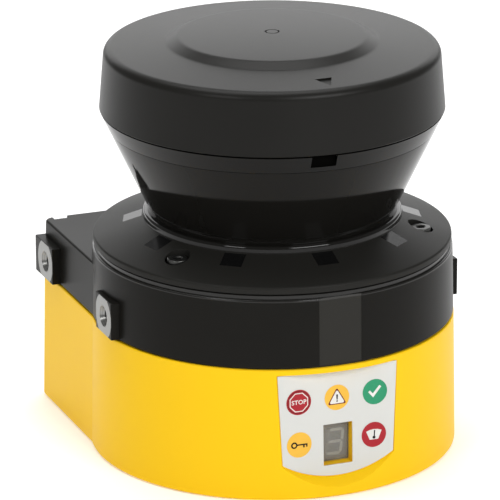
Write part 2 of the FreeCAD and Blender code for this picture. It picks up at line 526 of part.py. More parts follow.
class Piece:
    """One sub-part: a body whose sketches and features are bound to the sheet."""

    def __init__(self, label):
        self.label = label
        self.body = doc.addObject("PartDesign::Body", "Body_" + label)
        self.body.Label = label
        self.body.AllowCompound = True

    def sketch(self, name, draws, plane="XY", level="0", tilt=None, aside=None):
        """A sketch on one of the body's own planes, at a level along the plane's normal."""
        sketch = self.body.newObject("Sketcher::SketchObject", self.label + "_" + name + "_sketch")
        support = [part for part in self.body.Origin.OriginFeatures if part.Role == plane + "_Plane"]
        sketch.AttachmentSupport = [(support[0], "")]
        sketch.MapMode = "FlatFace"
        sketch.setExpression("AttachmentOffset.Base.z", bound(level))
        if tilt is not None:
            sketch.AttachmentOffset = FreeCAD.Placement(V(0, 0, 0), V(1, 0, 0), 1)
            sketch.setExpression("AttachmentOffset.Rotation.Angle", bound(tilt))
        if aside is not None:
            sketch.setExpression("AttachmentOffset.Base.x", bound(aside))
        for draw in draws:
            draw(sketch)
        sketch.Visibility = False
        return sketch

    def feature(self, kind, name, sketch):
        """A feature of this body that works on one sketch."""
        feature = self.body.newObject("PartDesign::" + kind, self.label + "_" + name)
        feature.Profile = sketch
        return feature

    def pad(self, name, draws, length, plane="XY", level="0", taper=None, back=False, tilt=None):
        """Add material along the plane's normal, or against it with back."""
        feature = self.feature("Pad", name, self.sketch(name, draws, plane, level, tilt))
        feature.setExpression("Length", bound(length))
        feature.Reversed = back
        if taper is not None:
            feature.setExpression("TaperAngle", bound(taper))
        return feature

    def pocket(self, name, draws, length, plane="XY", level="0", back=False, tilt=None):
        """Cut against the plane's normal, or along it with back."""
        feature = self.feature("Pocket", name, self.sketch(name, draws, plane, level, tilt))
        feature.setExpression("Length", bound(length))
        feature.Reversed = back
        return feature

    def turned(self, name, points, cut=False, plane="XZ", level="0", aside=None):
        """Turn a profile of radius and height pairs round the scan axis or an axis aside."""
        sketch = self.sketch(name, [polygon(points)], plane, level, aside=aside)
        feature = self.feature("Groove" if cut else "Revolution", name, sketch)
        feature.ReferenceAxis = (sketch, ["V_Axis"])
        feature.Angle = 360
        return feature

    def loft(self, name, first, second, cut=False):
        """A loft between two sketches."""
        feature = self.feature("SubtractiveLoft" if cut else "AdditiveLoft", name, first)
        feature.Sections = [second]
        return feature

    def around(self, name, feature, count, angle="360"):
        """Repeat a feature round the scan axis, over a part of a turn or a whole one."""
        pattern = self.body.newObject("PartDesign::PolarPattern", self.label + "_" + name)
        pattern.Originals = [feature]
        axis = [part for part in self.body.Origin.OriginFeatures if part.Role == "Z_Axis"]
        pattern.Axis = (axis[0], [""])
        pattern.setExpression("Angle", bound(angle))
        pattern.setExpression("Occurrences", bound(count))
        self.body.Tip = pattern
        return pattern

    def edges(self, wanted):
        """Names of the edges of the shape so far that a test picks."""
        doc.recompute()
        shape = self.body.Tip.Shape
        return ["Edge%d" % place for place, edge in enumerate(shape.Edges, 1) if wanted(edge)]

    def fillet(self, name, radius, wanted):
        """Round the edges that a test picks."""
        names = self.edges(wanted)
        base = self.body.Tip
        feature = self.body.newObject("PartDesign::Fillet", self.label + "_" + name)
        feature.Base = (base, names)
        feature.setExpression("Radius", bound(radius))
        return feature


def flat_edge_at(height):
    """A test for edges that lie in the horizontal plane at a height."""
    level = number(height)

    def wanted(edge):
        box = edge.BoundBox
        return abs(box.ZMin - level) < 0.01 and abs(box.ZMax - level) < 0.01
    return wanted


def ring_edge(radius, height):
    """A test for whole circles round the scan axis."""
    reach, level = number(radius), number(height)

    def wanted(edge):
        box = edge.BoundBox
        flat = abs(box.ZMin - level) < 0.01 and abs(box.ZMax - level) < 0.01
        return flat and abs(box.XMax - reach) < 0.01 and abs(box.YMax - reach) < 0.01
    return wanted


def narrowed(size, height):
    """A plan size of the drafted housing, given at the base, at another height."""
    return "(%s - (%s) * %s)" % (size, height, SHRINK)


def rear_corners(low, high):
    """A test for the two upright edges at the rear corners of the housing."""
    span = number(high) - number(low)
    rear = number("base_rear") - 3 * number("body_draft")

    def wanted(edge):
        box = edge.BoundBox
        return box.ZLength > 0.9 * span and box.YMin > rear
    return wanted


def both(value):
    """A value on the right and on the left of the middle plane."""
    return [value, "-(%s)" % value]


LAMPS = [
    ("-lamp_pitch", "lamp_upper"),
    ("0", "lamp_upper"),
    ("lamp_pitch", "lamp_upper"),
    ("-lamp_pitch", "lamp_lower"),
    ("lamp_pitch", "lamp_lower"),
]
TIES = [(x, "tie_front_y") for x in both("tie_front_x")]
TIES += [(x, "tie_rear_y") for x in both("tie_rear_x")]
BOARD_POSTS = [(x, y) for y in ("board_post_front", "board_post_rear") for x in both("board_post_x")]
GLASS_LOW = "(glass_middle - glass_height / 2)"
GLASS_HIGH = "(glass_middle + glass_height / 2)"
COUNTERBORE = "(%s + counterbore_floor)" % FLANGE_BOTTOM
RIBBON_Y = "(column_outer + ribbon_slot / 4)"


def hexagon(radius, x="0", y="0"):
    """A regular hexagon round x, y."""
    corners = []
    for turn in range(0, 360, 60):
        corners.append(("%s + %s * cos(%d)" % (x, radius, turn),
                        "%s + %s * sin(%d)" % (y, radius, turn)))
    return polygon(corners)


def spots_around(circle_radius, first, count):
    """Places on a circle, counted in degrees from the front towards the right."""
    spots = []
    for place_number in range(count):
        turn = "(%s + %d * 360 / %d)" % (first, place_number, count)
        spots.append(("%s * sin(%s)" % (circle_radius, turn),
                      "-%s * cos(%s)" % (circle_radius, turn)))
    return spots


def cover_screw_spots():
    """Places of the screws that hold the optics cover."""
    return spots_around("cover_screw_circle", "cover_screw_angle", 3)


def frame_screw_spots():
    """Places of the screws that hold the optics frame."""
    return spots_around("frame_screw_circle", "frame_screw_angle", 3)


def cut_ribbon_slot(piece, top, depth):
    """A slot that lets the ribbon cable pass through a ring."""
    half = "(ribbon_width / 2 + ribbon_slot)"
    slot = rectangle("-" + half, half, "(%s - ribbon_slot)" % RIBBON_Y,
                     "(%s + ribbon_thickness + ribbon_slot)" % RIBBON_Y)
    piece.pocket("ribbon_slot", [slot], depth, level=top)


def make_lower_housing():
    """The moulded tub: drafted shell, front panel with its scoop, connector bay and posts."""
    piece = Piece("lower_housing")
    outline = housing_outline("base_radius", "base_flat", "base_rear")
    piece.pad("shell", [outline], "lower_height", taper="-body_draft")
    piece.fillet("corners", "rear_corner", rear_corners("0", "lower_height"))
    piece.fillet("base_edge", "base_round", flat_edge_at("0"))
    radius = "(%s - lower_wall)" % narrowed("base_radius", "lower_height")
    flat = "(%s - lower_wall)" % narrowed("base_flat", "lower_height")
    rear = "(%s - lower_wall)" % narrowed("base_rear", "lower_height")
    shoulder = "(bay_high + bay_roof)"
    inner = housing_outline(radius, flat, rear, "front_wall_inside")
    piece.pocket("upper_hollow", [inner], "lower_height - " + shoulder, level="lower_height")
    inner = housing_outline(radius, flat, "(%s - bay_wall)" % BAY_INNER, "front_wall_inside")
    piece.pocket("lower_hollow", [inner], shoulder + " - floor_thickness", level=shoulder)
    posts = [circle("tie_post_radius", x, y) for x, y in TIES]
    piece.pad("tie_posts", posts, "lower_height - floor_thickness / 2", level="floor_thickness / 2")
    posts = [circle("board_post_radius", x, y) for x, y in BOARD_POSTS]
    piece.pad("board_posts", posts, "power_board_height - floor_thickness / 2",
              level="floor_thickness / 2")
    holes = [circle("tie_screw_radius + screw_clearance", x, y) for x, y in TIES]
    piece.pocket("tie_holes", holes, "lower_height", level="lower_height")
    holes = [circle("tie_head_radius + screw_clearance", x, y) for x, y in TIES]
    piece.pocket("tie_recesses", holes, "tie_recess", back=True)
    holes = [circle("small_screw_radius + thread_gap", x, y) for x, y in BOARD_POSTS]
    piece.pocket("board_holes", holes, "small_screw_length", level="power_board_height")
    bay = rectangle("-bay_half", "bay_half", "bay_low", "bay_high")
    piece.pocket("bay", [bay], "bay_depth", plane="XZ", level="-base_rear", back=True)
    depth = number("base_rear") - number("bay_depth")

    def bay_corner(edge):
        box = edge.BoundBox
        inside = box.ZMin > 1 and box.ZMax < number("bay_high") + 1
        return box.YLength > 5 and box.XLength < 0.01 and inside and box.YMin > depth - 1
    piece.fillet("bay_corners", "bay_round", bay_corner)
    for name, x, size in (("system", "system_x", "system_radius"),
                          ("config", "config_x", "config_radius")):
        hole = circle(size + " + fit_gap", x, "plug_height")
        piece.pocket(name + "_hole", [hole], "bay_wall", plane="XZ", level="-" + BAY_INNER, back=True)
    first = piece.sketch("panel", [bowed_panel("panel_top", "panel_top_half", "panel_low",
                                               "panel_low_half", "panel_bottom")],
                         "XZ", "panel_floor", "-panel_tilt")
    second = piece.sketch("scoop", [bowed_panel("panel_top", "panel_top_half",
                                                "panel_low - scoop_drop / 4",
                                                "panel_low_half + scoop_spread",
                                                "panel_bottom - scoop_drop")],
                          "XZ", "panel_floor + scoop_reach", "-panel_tilt")
    piece.loft("panel", first, second, cut=True)
    glass = rectangle("-glass_width / 2", "glass_width / 2", GLASS_LOW, GLASS_HIGH)
    piece.pocket("display_opening", [glass], "panel_floor + 2 - front_wall_inside",
                 plane="XZ", level="panel_floor + 1")
    holes = [circle("guide_radius + fit_gap", x, z) for x, z in LAMPS]
    piece.pocket("guide_holes", holes, "panel_floor + 2 - front_wall_inside",
                 plane="XZ", level="panel_floor + 1")
    return piece


def make_upper_housing():
    """The die casting: rear deck, round tower with the cover's seat, bosses and posts."""
    piece = Piece("upper_housing")
    outline = housing_outline(narrowed("base_radius", UPPER_BOTTOM),
                              narrowed("base_flat", UPPER_BOTTOM),
                              narrowed("base_rear", UPPER_BOTTOM))
    piece.pad("shell", [outline], "deck_height - " + UPPER_BOTTOM, level=UPPER_BOTTOM,
              taper="-body_draft")
    piece.fillet("corners", "rear_corner", rear_corners(UPPER_BOTTOM, "deck_height"))
    deck_edge = flat_edge_at("deck_height")
    piece.fillet("deck_edge", "deck_round",
                 lambda edge: deck_edge(edge) and edge.BoundBox.YMin > number("deck_round"))
    foot = narrowed("base_radius", "deck_height")
    piece.pad("tower", [circle(foot)], "tower_height - deck_height", level="deck_height",
              taper="-body_draft")
    piece.fillet("tower_edge", "tower_round",
                 ring_edge(narrowed("base_radius", "tower_height"), "tower_height"))
    piece.pad("rim", [circle("rim_radius")], "rim_height", level="tower_height")
    piece.pocket("seat", [circle("seat_radius")], "seat_depth", level=RIM_TOP)
    piece.pocket("opening", [circle("tower_bore")], "ledge_thickness", level=SEAT)
    radius = "(%s - upper_wall)" % foot
    flat = "(%s - upper_wall)" % narrowed("base_flat", "deck_height")
    rear = "(%s - upper_wall)" % narrowed("base_rear", "deck_height")
    piece.pocket("hollow", [housing_outline(radius, flat, rear)],
                 "deck_height - deck_thickness - " + UPPER_BOTTOM, level=UPPER_BOTTOM, back=True)
    piece.pocket("tower_hollow", [circle("cavity_radius")], "%s - %s" % (LEDGE_BOTTOM, UPPER_BOTTOM),
                 level=UPPER_BOTTOM, back=True)
    front = rectangle("front_boss_y - front_boss_width / 2", "front_boss_y + front_boss_width / 2",
                      UPPER_BOTTOM, "boss_top")
    back_face = "(%s - tower_round)" % narrowed("base_rear", "deck_height")
    rear_boss = rectangle("rear_boss_start", back_face, UPPER_BOTTOM, "boss_top")
    for side, level in (("right", "%s"), ("left", "-boss_reach")):
        front_level = level % "boss_root" if side == "right" else level
        rear_level = level % "rear_boss_root" if side == "right" else level
        piece.pad("front_boss_" + side, [front], "boss_reach - boss_root", plane="YZ",
                  level=front_level)
        piece.pad("rear_boss_" + side, [rear_boss], "boss_reach - rear_boss_root", plane="YZ",
                  level=rear_level)
    posts = [circle("tie_post_radius", x, y) for x, y in TIES]
    piece.pad("tie_posts", posts, "tie_grip + small_head_height", level=UPPER_BOTTOM)
    holes = [circle("tie_screw_radius + thread_gap", x, y) for x, y in TIES]
    piece.pocket("tie_threads", holes, "tie_grip", level=UPPER_BOTTOM, back=True)
    threads = [circle("mount_radius", y, "mount_height") for y in ("front_boss_y", "rear_boss_y")]
    piece.pocket("threads_right", threads, "side_thread_depth", plane="YZ", level="boss_reach")
    piece.pocket("threads_left", threads, "side_thread_depth", plane="YZ", level="-boss_reach",
                 back=True)
    threads = [circle("mount_radius", x, "mount_height") for x in both("rear_thread_x")]
    piece.pocket("threads_rear", threads, "rear_thread_depth + mount_height * " + SHRINK,
                 plane="XZ", level="-base_rear", back=True)
    notch_back = "(%s - notch_depth)" % narrowed("base_rear", "deck_height")
    notches = [rectangle("%s - notch_width / 2" % x, "%s + notch_width / 2" % x, notch_back,
                         "base_rear") for x in both("rear_thread_x")]
    piece.pocket("notches", notches, "notch_height", level="deck_height")
    strip = rectangle("-strip_width / 2", "strip_width / 2", UPPER_BOTTOM + " - strip_depth",
                      "tower_height + rim_height + strip_depth")
    piece.pocket("strip", [strip], "2 * upper_wall", plane="XZ", level="base_radius - strip_depth",
                 back=True, tilt="-body_draft")
    thread = "cover_screw_radius + thread_gap"
    holes = [circle(thread, x, y) for x, y in cover_screw_spots()]
    piece.pocket("cover_threads", holes, "ledge_thickness * 2", level=SEAT)
    holes = [circle(thread, x, y) for x, y in frame_screw_spots()]
    piece.pocket("frame_threads", holes, "ledge_thickness * 0.8", level=LEDGE_BOTTOM, back=True)
    beds = turned_rectangles("(sensor_circle + sensor_length / 2 + fit_gap)",
                             "(sensor_circle - sensor_length / 2 - fit_gap)",
                             "(sensor_width / 2 + fit_gap)")
    piece.pocket("sensor_beds", beds, "sensor_depth", level=SEAT)
    return piece


def turned_rectangles(far, near, half_width):
    """Rectangles between two distances from the axis, one below each contamination window."""
    shapes = []
    count = int(number("window_side_count"))
    for step in range(-count, count + 1):
        turn = "(%d * window_pitch)" % step
        corners = []
        for out, side in ((far, "-"), (far, ""), (near, ""), (near, "-")):
            across = "(%s%s)" % (side, half_width)
            corners.append(("%s * sin(%s) + %s * cos(%s)" % (out, turn, across, turn),
                            "%s * sin(%s) - %s * cos(%s)" % (across, turn, out, turn)))
        shapes.append(polygon(corners))
    return shapes


def around_both_sides(piece, name, feature):
    """Repeat a front feature at the contamination windows' pitch, to the right and left."""
    count = "window_side_count + 1"
    angle = "window_side_count * window_pitch"
    piece.around(name + "_right", feature, count, angle)
    left = piece.around(name + "_left", feature, count, angle)
    left.Reversed = True


def flange_line(radius, lower="0"):
    """Height of the flange's conical top at a radius, or of a line that far below it."""
    slope = "flange_rise / (flange_radius - collar_radius)"
    return "(%s + (flange_radius - (%s)) * %s - (%s))" % (FLANGE_TOP, radius, slope, lower)


def make_optics_cover():
    """The dark cover: conical flange with spigot and screw bosses, bead, neck and cone."""
    piece = Piece("optics_cover")
    outer_spigot = "(seat_radius - fit_gap)"
    inner_spigot = "(seat_radius - fit_gap - cover_wall)"
    inner_rim = "(cover_rim_radius - cover_wall)"
    shell = "(cover_wall * 1.1)"
    bosses = [circle(outer_spigot + " - cover_screw_circle", x, y) for x, y in cover_screw_spots()]
    piece.pad("bosses", bosses, "%s - %s" % (COLLAR_TOP, SEAT), level=SEAT)
    above = [
        ("flange_radius", flange_line("flange_radius", "cover_wall / 2")),
        ("cover_bore", flange_line("cover_bore", "cover_wall / 2")),
        ("cover_bore", COVER_TOP),
        ("flange_radius", COVER_TOP),
    ]
    piece.turned("boss_trim", above, cut=True)
    profile = [
        (inner_spigot, SEAT),
        (outer_spigot, SEAT),
        (outer_spigot, FLANGE_BOTTOM),
        ("flange_radius", FLANGE_BOTTOM),
        ("flange_radius", FLANGE_TOP),
        ("collar_radius", flange_line("collar_radius")),
        ("collar_radius", COLLAR_TOP),
        ("neck_radius", "(%s + collar_round)" % COLLAR_TOP),
        ("cone_bottom_radius", CONE_BOTTOM),
        ("cone_top_radius", "cone_top"),
        ("cover_rim_radius", "cone_top + fit_gap"),
        ("cover_rim_radius", COVER_TOP),
        (inner_rim, COVER_TOP),
        (inner_rim, "cone_top + fit_gap"),
        ("cover_bore", CONE_BOTTOM),
        ("cover_bore", flange_line("cover_bore", shell)),
        (inner_spigot, flange_line(inner_spigot, shell)),
    ]
    piece.turned("shell", profile)
    piece.fillet("flange_edge", "flange_round", ring_edge("flange_radius", FLANGE_TOP))
    piece.fillet("bead_foot", "collar_foot",
                 ring_edge("collar_radius", flange_line("collar_radius")))
    piece.fillet("bead", "collar_round", ring_edge("collar_radius", COLLAR_TOP))
    near, far = "(window_circle - window_length / 2)", "(window_circle + window_length / 2)"
    face = polygon([
        ("-" + far, flange_line(far, "window_depth")),
        ("-" + near, flange_line(near, "window_depth")),
        ("-" + near, flange_line(near, "-window_depth")),
        ("-" + far, flange_line(far, "-window_depth")),
    ])
    window = piece.pocket("window", [face], "window_width", plane="YZ", level="window_width / 2")
    around_both_sides(piece, "windows", window)
    recesses = [circle("counterbore_radius", x, y) for x, y in cover_screw_spots()]
    piece.pocket("counterbores", recesses, "%s - %s" % (COLLAR_TOP, COUNTERBORE), level=COLLAR_TOP)
    holes = [circle("cover_screw_radius + screw_clearance", x, y) for x, y in cover_screw_spots()]
    piece.pocket("screw_holes", holes, "%s + fit_gap - %s" % (COUNTERBORE, SEAT),
                 level="%s + fit_gap" % COUNTERBORE)
    notch = rectangle("-front_notch_width / 2", "front_notch_width / 2",
                      "cone_top - front_notch_height / 2", "cone_top + front_notch_height / 2")
    piece.pocket("front_notch", [notch], "2 * front_notch_depth", plane="XZ",
                 level="cover_rim_radius + front_notch_depth")
    return piece


def make_head_cap():
    """The cap: bevelled lip, tapered side, flat ring and raised disc, with a spigot below."""
    piece = Piece("head_cap")
    spigot = "(cover_rim_radius - cover_wall - fit_gap)"
    lip = "(%s + cap_seam)" % COVER_TOP
    belly = "(%s + cap_seam + cap_chamfer)" % COVER_TOP
    profile = [
        (spigot, "%s - spigot_depth" % COVER_TOP),
        (spigot, COVER_TOP),
        ("cover_rim_radius - cover_wall / 3", COVER_TOP),
        ("cover_rim_radius - cover_wall / 3", lip),
        ("cap_lip_radius", lip),
        ("cap_radius", belly),
        ("cap_shoulder_radius", "cap_ring"),
        ("cap_step_radius", "cap_ring"),
        ("cap_disc_radius", "cap_top"),
        ("0", "cap_top"),
        ("0", "cap_top - cap_wall"),
        ("cap_disc_radius - cap_wall / 2", "cap_top - cap_wall"),
        ("cap_step_radius - cap_wall / 2", "cap_ring - cap_wall"),
        ("cap_shoulder_radius - cap_wall", "cap_ring - cap_wall"),
        ("cap_radius - cap_wall", belly),
        ("%s - spigot_wall" % spigot, lip),
        ("%s - spigot_wall" % spigot, "%s - spigot_depth" % COVER_TOP),
    ]
    piece.turned("shell", profile)
    piece.fillet("top_edge", "cap_round", ring_edge("cap_shoulder_radius", "cap_ring"))
    piece.fillet("disc_foot", "cap_step_round", ring_edge("cap_step_radius", "cap_ring"))
    piece.fillet("disc_edge", "cap_step_round", ring_edge("cap_disc_radius", "cap_top"))
    ring = [circle("gate_radius"), circle("gate_radius - gate_width")]
    piece.pocket("gate_mark", ring, "mark_depth", level="cap_top")
    arrow = polygon([
        ("0", "-(arrow_circle + arrow_length / 2)"),
        ("arrow_width / 2", "-(arrow_circle - arrow_length / 2)"),
        ("-arrow_width / 2", "-(arrow_circle - arrow_length / 2)"),
    ])
    piece.pocket("front_mark", [arrow], "mark_depth", level="cap_ring")
    return piece


def make_seals():
    """The seal between the housings and the seal under the cover's flange."""
    housing_seal = Piece("housing_seal")
    sizes = [narrowed(size, "lower_height") for size in ("base_radius", "base_flat", "base_rear")]
    outer = housing_outline(*["(%s - seam_inset)" % size for size in sizes])
    inner = housing_outline(*["(%s - seam_inset - seal_width)" % size for size in sizes])
    housing_seal.pad("ring", [outer, inner], "seam_gap", level="lower_height")
    cover_seal = Piece("cover_seal")
    ring = [circle("cover_seal_outer"), circle("cover_seal_inner")]
    cover_seal.pad("ring", ring, "cover_gap", level=RIM_TOP)
    return [housing_seal, cover_seal]


def make_screws(label, spots, radius, length, head_radius, head_height, under_head, down=True):
    """Screws with flat round heads and hexagon sockets, as separate solids of one piece."""
    piece = Piece(label)
    piece.pad("shanks", [circle(radius, x, y) for x, y in spots], length, level=under_head, back=down)
    piece.pad("heads", [circle(head_radius, x, y) for x, y in spots], head_height,
              level=under_head, back=not down)
    face = "(%s + %s)" % (under_head, head_height) if down else "(%s - %s)" % (under_head, head_height)
    sockets = [hexagon("%s / 2" % head_radius, x, y) for x, y in spots]
    piece.pocket("sockets", sockets, head_height + " * 0.6", level=face, back=not down)
    return piece


def make_fasteners():
    """All screws of the unit, one piece for each kind."""
    cover = make_screws("cover_screws", cover_screw_spots(), "cover_screw_radius",
                        "%s - %s + ledge_thickness" % (COUNTERBORE, SEAT),
                        "cover_screw_head", "cover_screw_head_height", COUNTERBORE)
    housing = make_screws("housing_screws", TIES, "tie_screw_radius",
                          "%s - tie_recess + tie_grip - fit_gap" % UPPER_BOTTOM,
                          "tie_head_radius", "tie_head_height", "tie_recess", down=False)
    frame = make_screws("frame_screws", frame_screw_spots(), "cover_screw_radius",
                        "frame_thickness + ledge_thickness / 2", "cover_screw_head",
                        "cover_screw_head_height", FRAME_BOTTOM, down=False)
    cup = make_screws("cup_screws", spots_around("cup_screw_circle", "60", 3),
                      "small_screw_radius", "cup_flange_thickness + frame_thickness / 2",
                      "small_head_radius", "small_head_height",
                      "(%s - cup_flange_thickness)" % FRAME_BOTTOM, down=False)
    board = make_screws("board_screws", BOARD_POSTS, "small_screw_radius",
                        "board_thickness + small_screw_length - fit_gap", "small_head_radius",
                        "small_head_height", MAIN_TOP)
    head = make_screws("head_screws", spots_around("spacer_circle", "0", 3),
                       "small_screw_radius", "board_thickness + small_screw_length - fit_gap",
                       "small_head_radius", "small_head_height",
                       "(receiver_board_height + board_thickness)")
    return [cover, housing, frame, cup, board, head]


def extruded(label, draws, length, level="0", plane="XY", back=False, tilt=None):
    """A piece that starts as one plate or block."""
    piece = Piece(label)
    piece.pad("body", draws, length, plane=plane, level=level, back=back, tilt=tilt)
    return piece


def turned_piece(label, points):
    """A piece turned round the scan axis."""
    piece = Piece(label)
    piece.turned("body", points)
    return piece


def sleeve(inner, outer, low, high):
    """The profile of a plain sleeve between two radii and two heights."""
    return [(inner, low), (outer, low), (outer, high), (inner, high)]


def make_display():
    """The label on the panel and the parts that show through it."""
    inset = "label_inset"
    outline = bowed_panel("(panel_top - %s)" % inset, "(panel_top_half - %s)" % inset,
                          "(panel_low + %s)" % inset, "(panel_low_half - %s)" % inset,
                          "(panel_bottom + %s)" % inset)
    opening = rectangle("-glass_width / 2", "glass_width / 2", GLASS_LOW, GLASS_HIGH)
    holes = [circle("guide_radius + fit_gap", x, z) for x, z in LAMPS]
    label = extruded("display_label", [outline], "label_thickness", level="panel_floor",
                     plane="XZ", tilt="-panel_tilt")
    label.pocket("opening", [opening], "2 * label_thickness + 2", plane="XZ",
                 level="panel_floor + label_thickness + 1")
    label.pocket("lamps", holes, "2 * label_thickness + 2", plane="XZ",
                 level="panel_floor + label_thickness + 1")
    glass = rectangle("-(glass_width / 2 - fit_gap)", "glass_width / 2 - fit_gap",
                      GLASS_LOW + " + fit_gap", GLASS_HIGH + " - fit_gap")
    glass_back = "(front_wall_inside + fit_gap)"
    window = extruded("display_window", [glass], "glass_thickness", level=glass_back, plane="XZ")
    board_front = "(display_board_y + board_thickness)"
    reach = "(%s - fit_gap - %s)" % (glass_back, board_front)
    digit = extruded("digit_display", [glass], reach, level=board_front, plane="XZ")
    board = rectangle("-display_board_half", "display_board_half", "display_board_low",
                      "display_board_high")
    display_board = extruded("display_board", [board], "board_thickness", level="display_board_y",
                             plane="XZ")
    chips = [
        rectangle("-display_board_half * 0.3", "display_board_half * 0.3",
                  "display_board_low + tall_part", "display_board_low + 2.6 * tall_part"),
        rectangle("display_board_half * 0.5", "display_board_half * 0.75",
                  "display_board_high - 2 * tall_part", "display_board_high - tall_part"),
        rectangle("-display_board_half * 0.8", "-display_board_half * 0.45",
                  "display_board_high - 1.6 * tall_part", "display_board_high - tall_part"),
    ]
    display_board.pad("chips", chips, "chip_height", plane="XZ", level="display_board_y", back=True)
    half = "lamp_size / 2"
    lamps = [rectangle("%s - %s" % (x, half), "%s + %s" % (x, half), "%s - %s" % (z, half),
                       "%s + %s" % (z, half)) for x, z in LAMPS]
    leds = extruded("status_leds", lamps, "lamp_height", level=board_front, plane="XZ")
    guide_start = "(%s + lamp_height + fit_gap)" % board_front
    pieces = [label, window, digit, display_board, leds]
    for place_number, (x, z) in enumerate(LAMPS, start=1):
        face = "(panel_floor - (%s) * tan(panel_tilt) + label_thickness)" % z
        guide = extruded("light_guide_%d" % place_number, [circle("guide_radius", x, z)],
                         "%s - %s" % (face, guide_start), level=guide_start, plane="XZ")
        foot = "front_wall_inside - fit_gap - %s" % guide_start
        guide.pad("foot", [circle("guide_radius + label_gap * 2", x, z)], foot, plane="XZ",
                  level=guide_start)
        pieces.append(guide)
    return pieces


def make_connector(name, count, thread, flange):
    """A round connector in the bay wall: body, contact insert and lock nut."""
    x = name + "_x"
    inner = "(%s - plug_wall)" % thread
    face = "(%s + plug_flange_thickness)" % BAY_INNER
    tip = "(%s + plug_length)" % face
    end = "(%s - bay_wall - plug_tail)" % BAY_INNER
    body = Piece(name + "_connector")
    profile = [
        (inner, end),
        (thread, end),
        (thread, BAY_INNER),
        (flange, BAY_INNER),
        (flange, face),
        (thread, face),
        (thread, tip),
        (inner, tip),
    ]
    body.turned("shell", profile, level="plug_height", plane="XY", aside=x)
    insert = Piece(name + "_contacts")
    core = "(%s - fit_gap)" % inner
    insert_face = "(%s + insert_length)" % face
    insert.turned("insert", [("0", end), (core, end), (core, insert_face), ("0", insert_face)],
                  plane="XY", level="plug_height", aside=x)
    reach = "%s * contact_circle" % core
    pins = []
    for pin in range(count):
        turn = "(%d * 360 / %d)" % (pin, count)
        pins.append(circle("pin_radius", "%s + %s * cos%s" % (x, reach, turn),
                           "plug_height + %s * sin%s" % (reach, turn)))
    insert.pad("pins", pins, "pin_length + fit_gap", plane="XZ", level="-(%s - fit_gap)" % insert_face,
               back=True)
    nut_face = "(%s - bay_wall)" % BAY_INNER
    nut = extruded(name + "_nut", [hexagon(flange, x, "plug_height"),
                                   circle(thread + " + thread_gap", x, "plug_height")],
                   "plug_nut_thickness", level="-(%s - plug_nut_thickness)" % nut_face, plane="XZ",
                   back=True)
    return [body, insert, nut]


def make_connectors():
    """Both connectors and the protective cap on the smaller one."""
    pieces = make_connector("system", 8, "system_radius", "system_flange")
    pieces += make_connector("config", 4, "config_radius", "config_flange")
    face = "(%s + plug_flange_thickness)" % BAY_INNER
    inner = "(config_radius + thread_gap)"
    outer = "(%s + protective_wall)" % inner
    start = "(%s + fit_gap)" % face
    bottom = "(%s + plug_length + fit_gap)" % face
    end = "(%s + protective_wall)" % bottom
    cap = Piece("config_cap")
    profile = [
        ("0", bottom),
        (inner, bottom),
        (inner, start),
        (outer, start),
        (outer, end),
        ("0", end),
    ]
    cap.turned("shell", profile, plane="XY", level="plug_height", aside="config_x")
    pieces.append(cap)
    return pieces


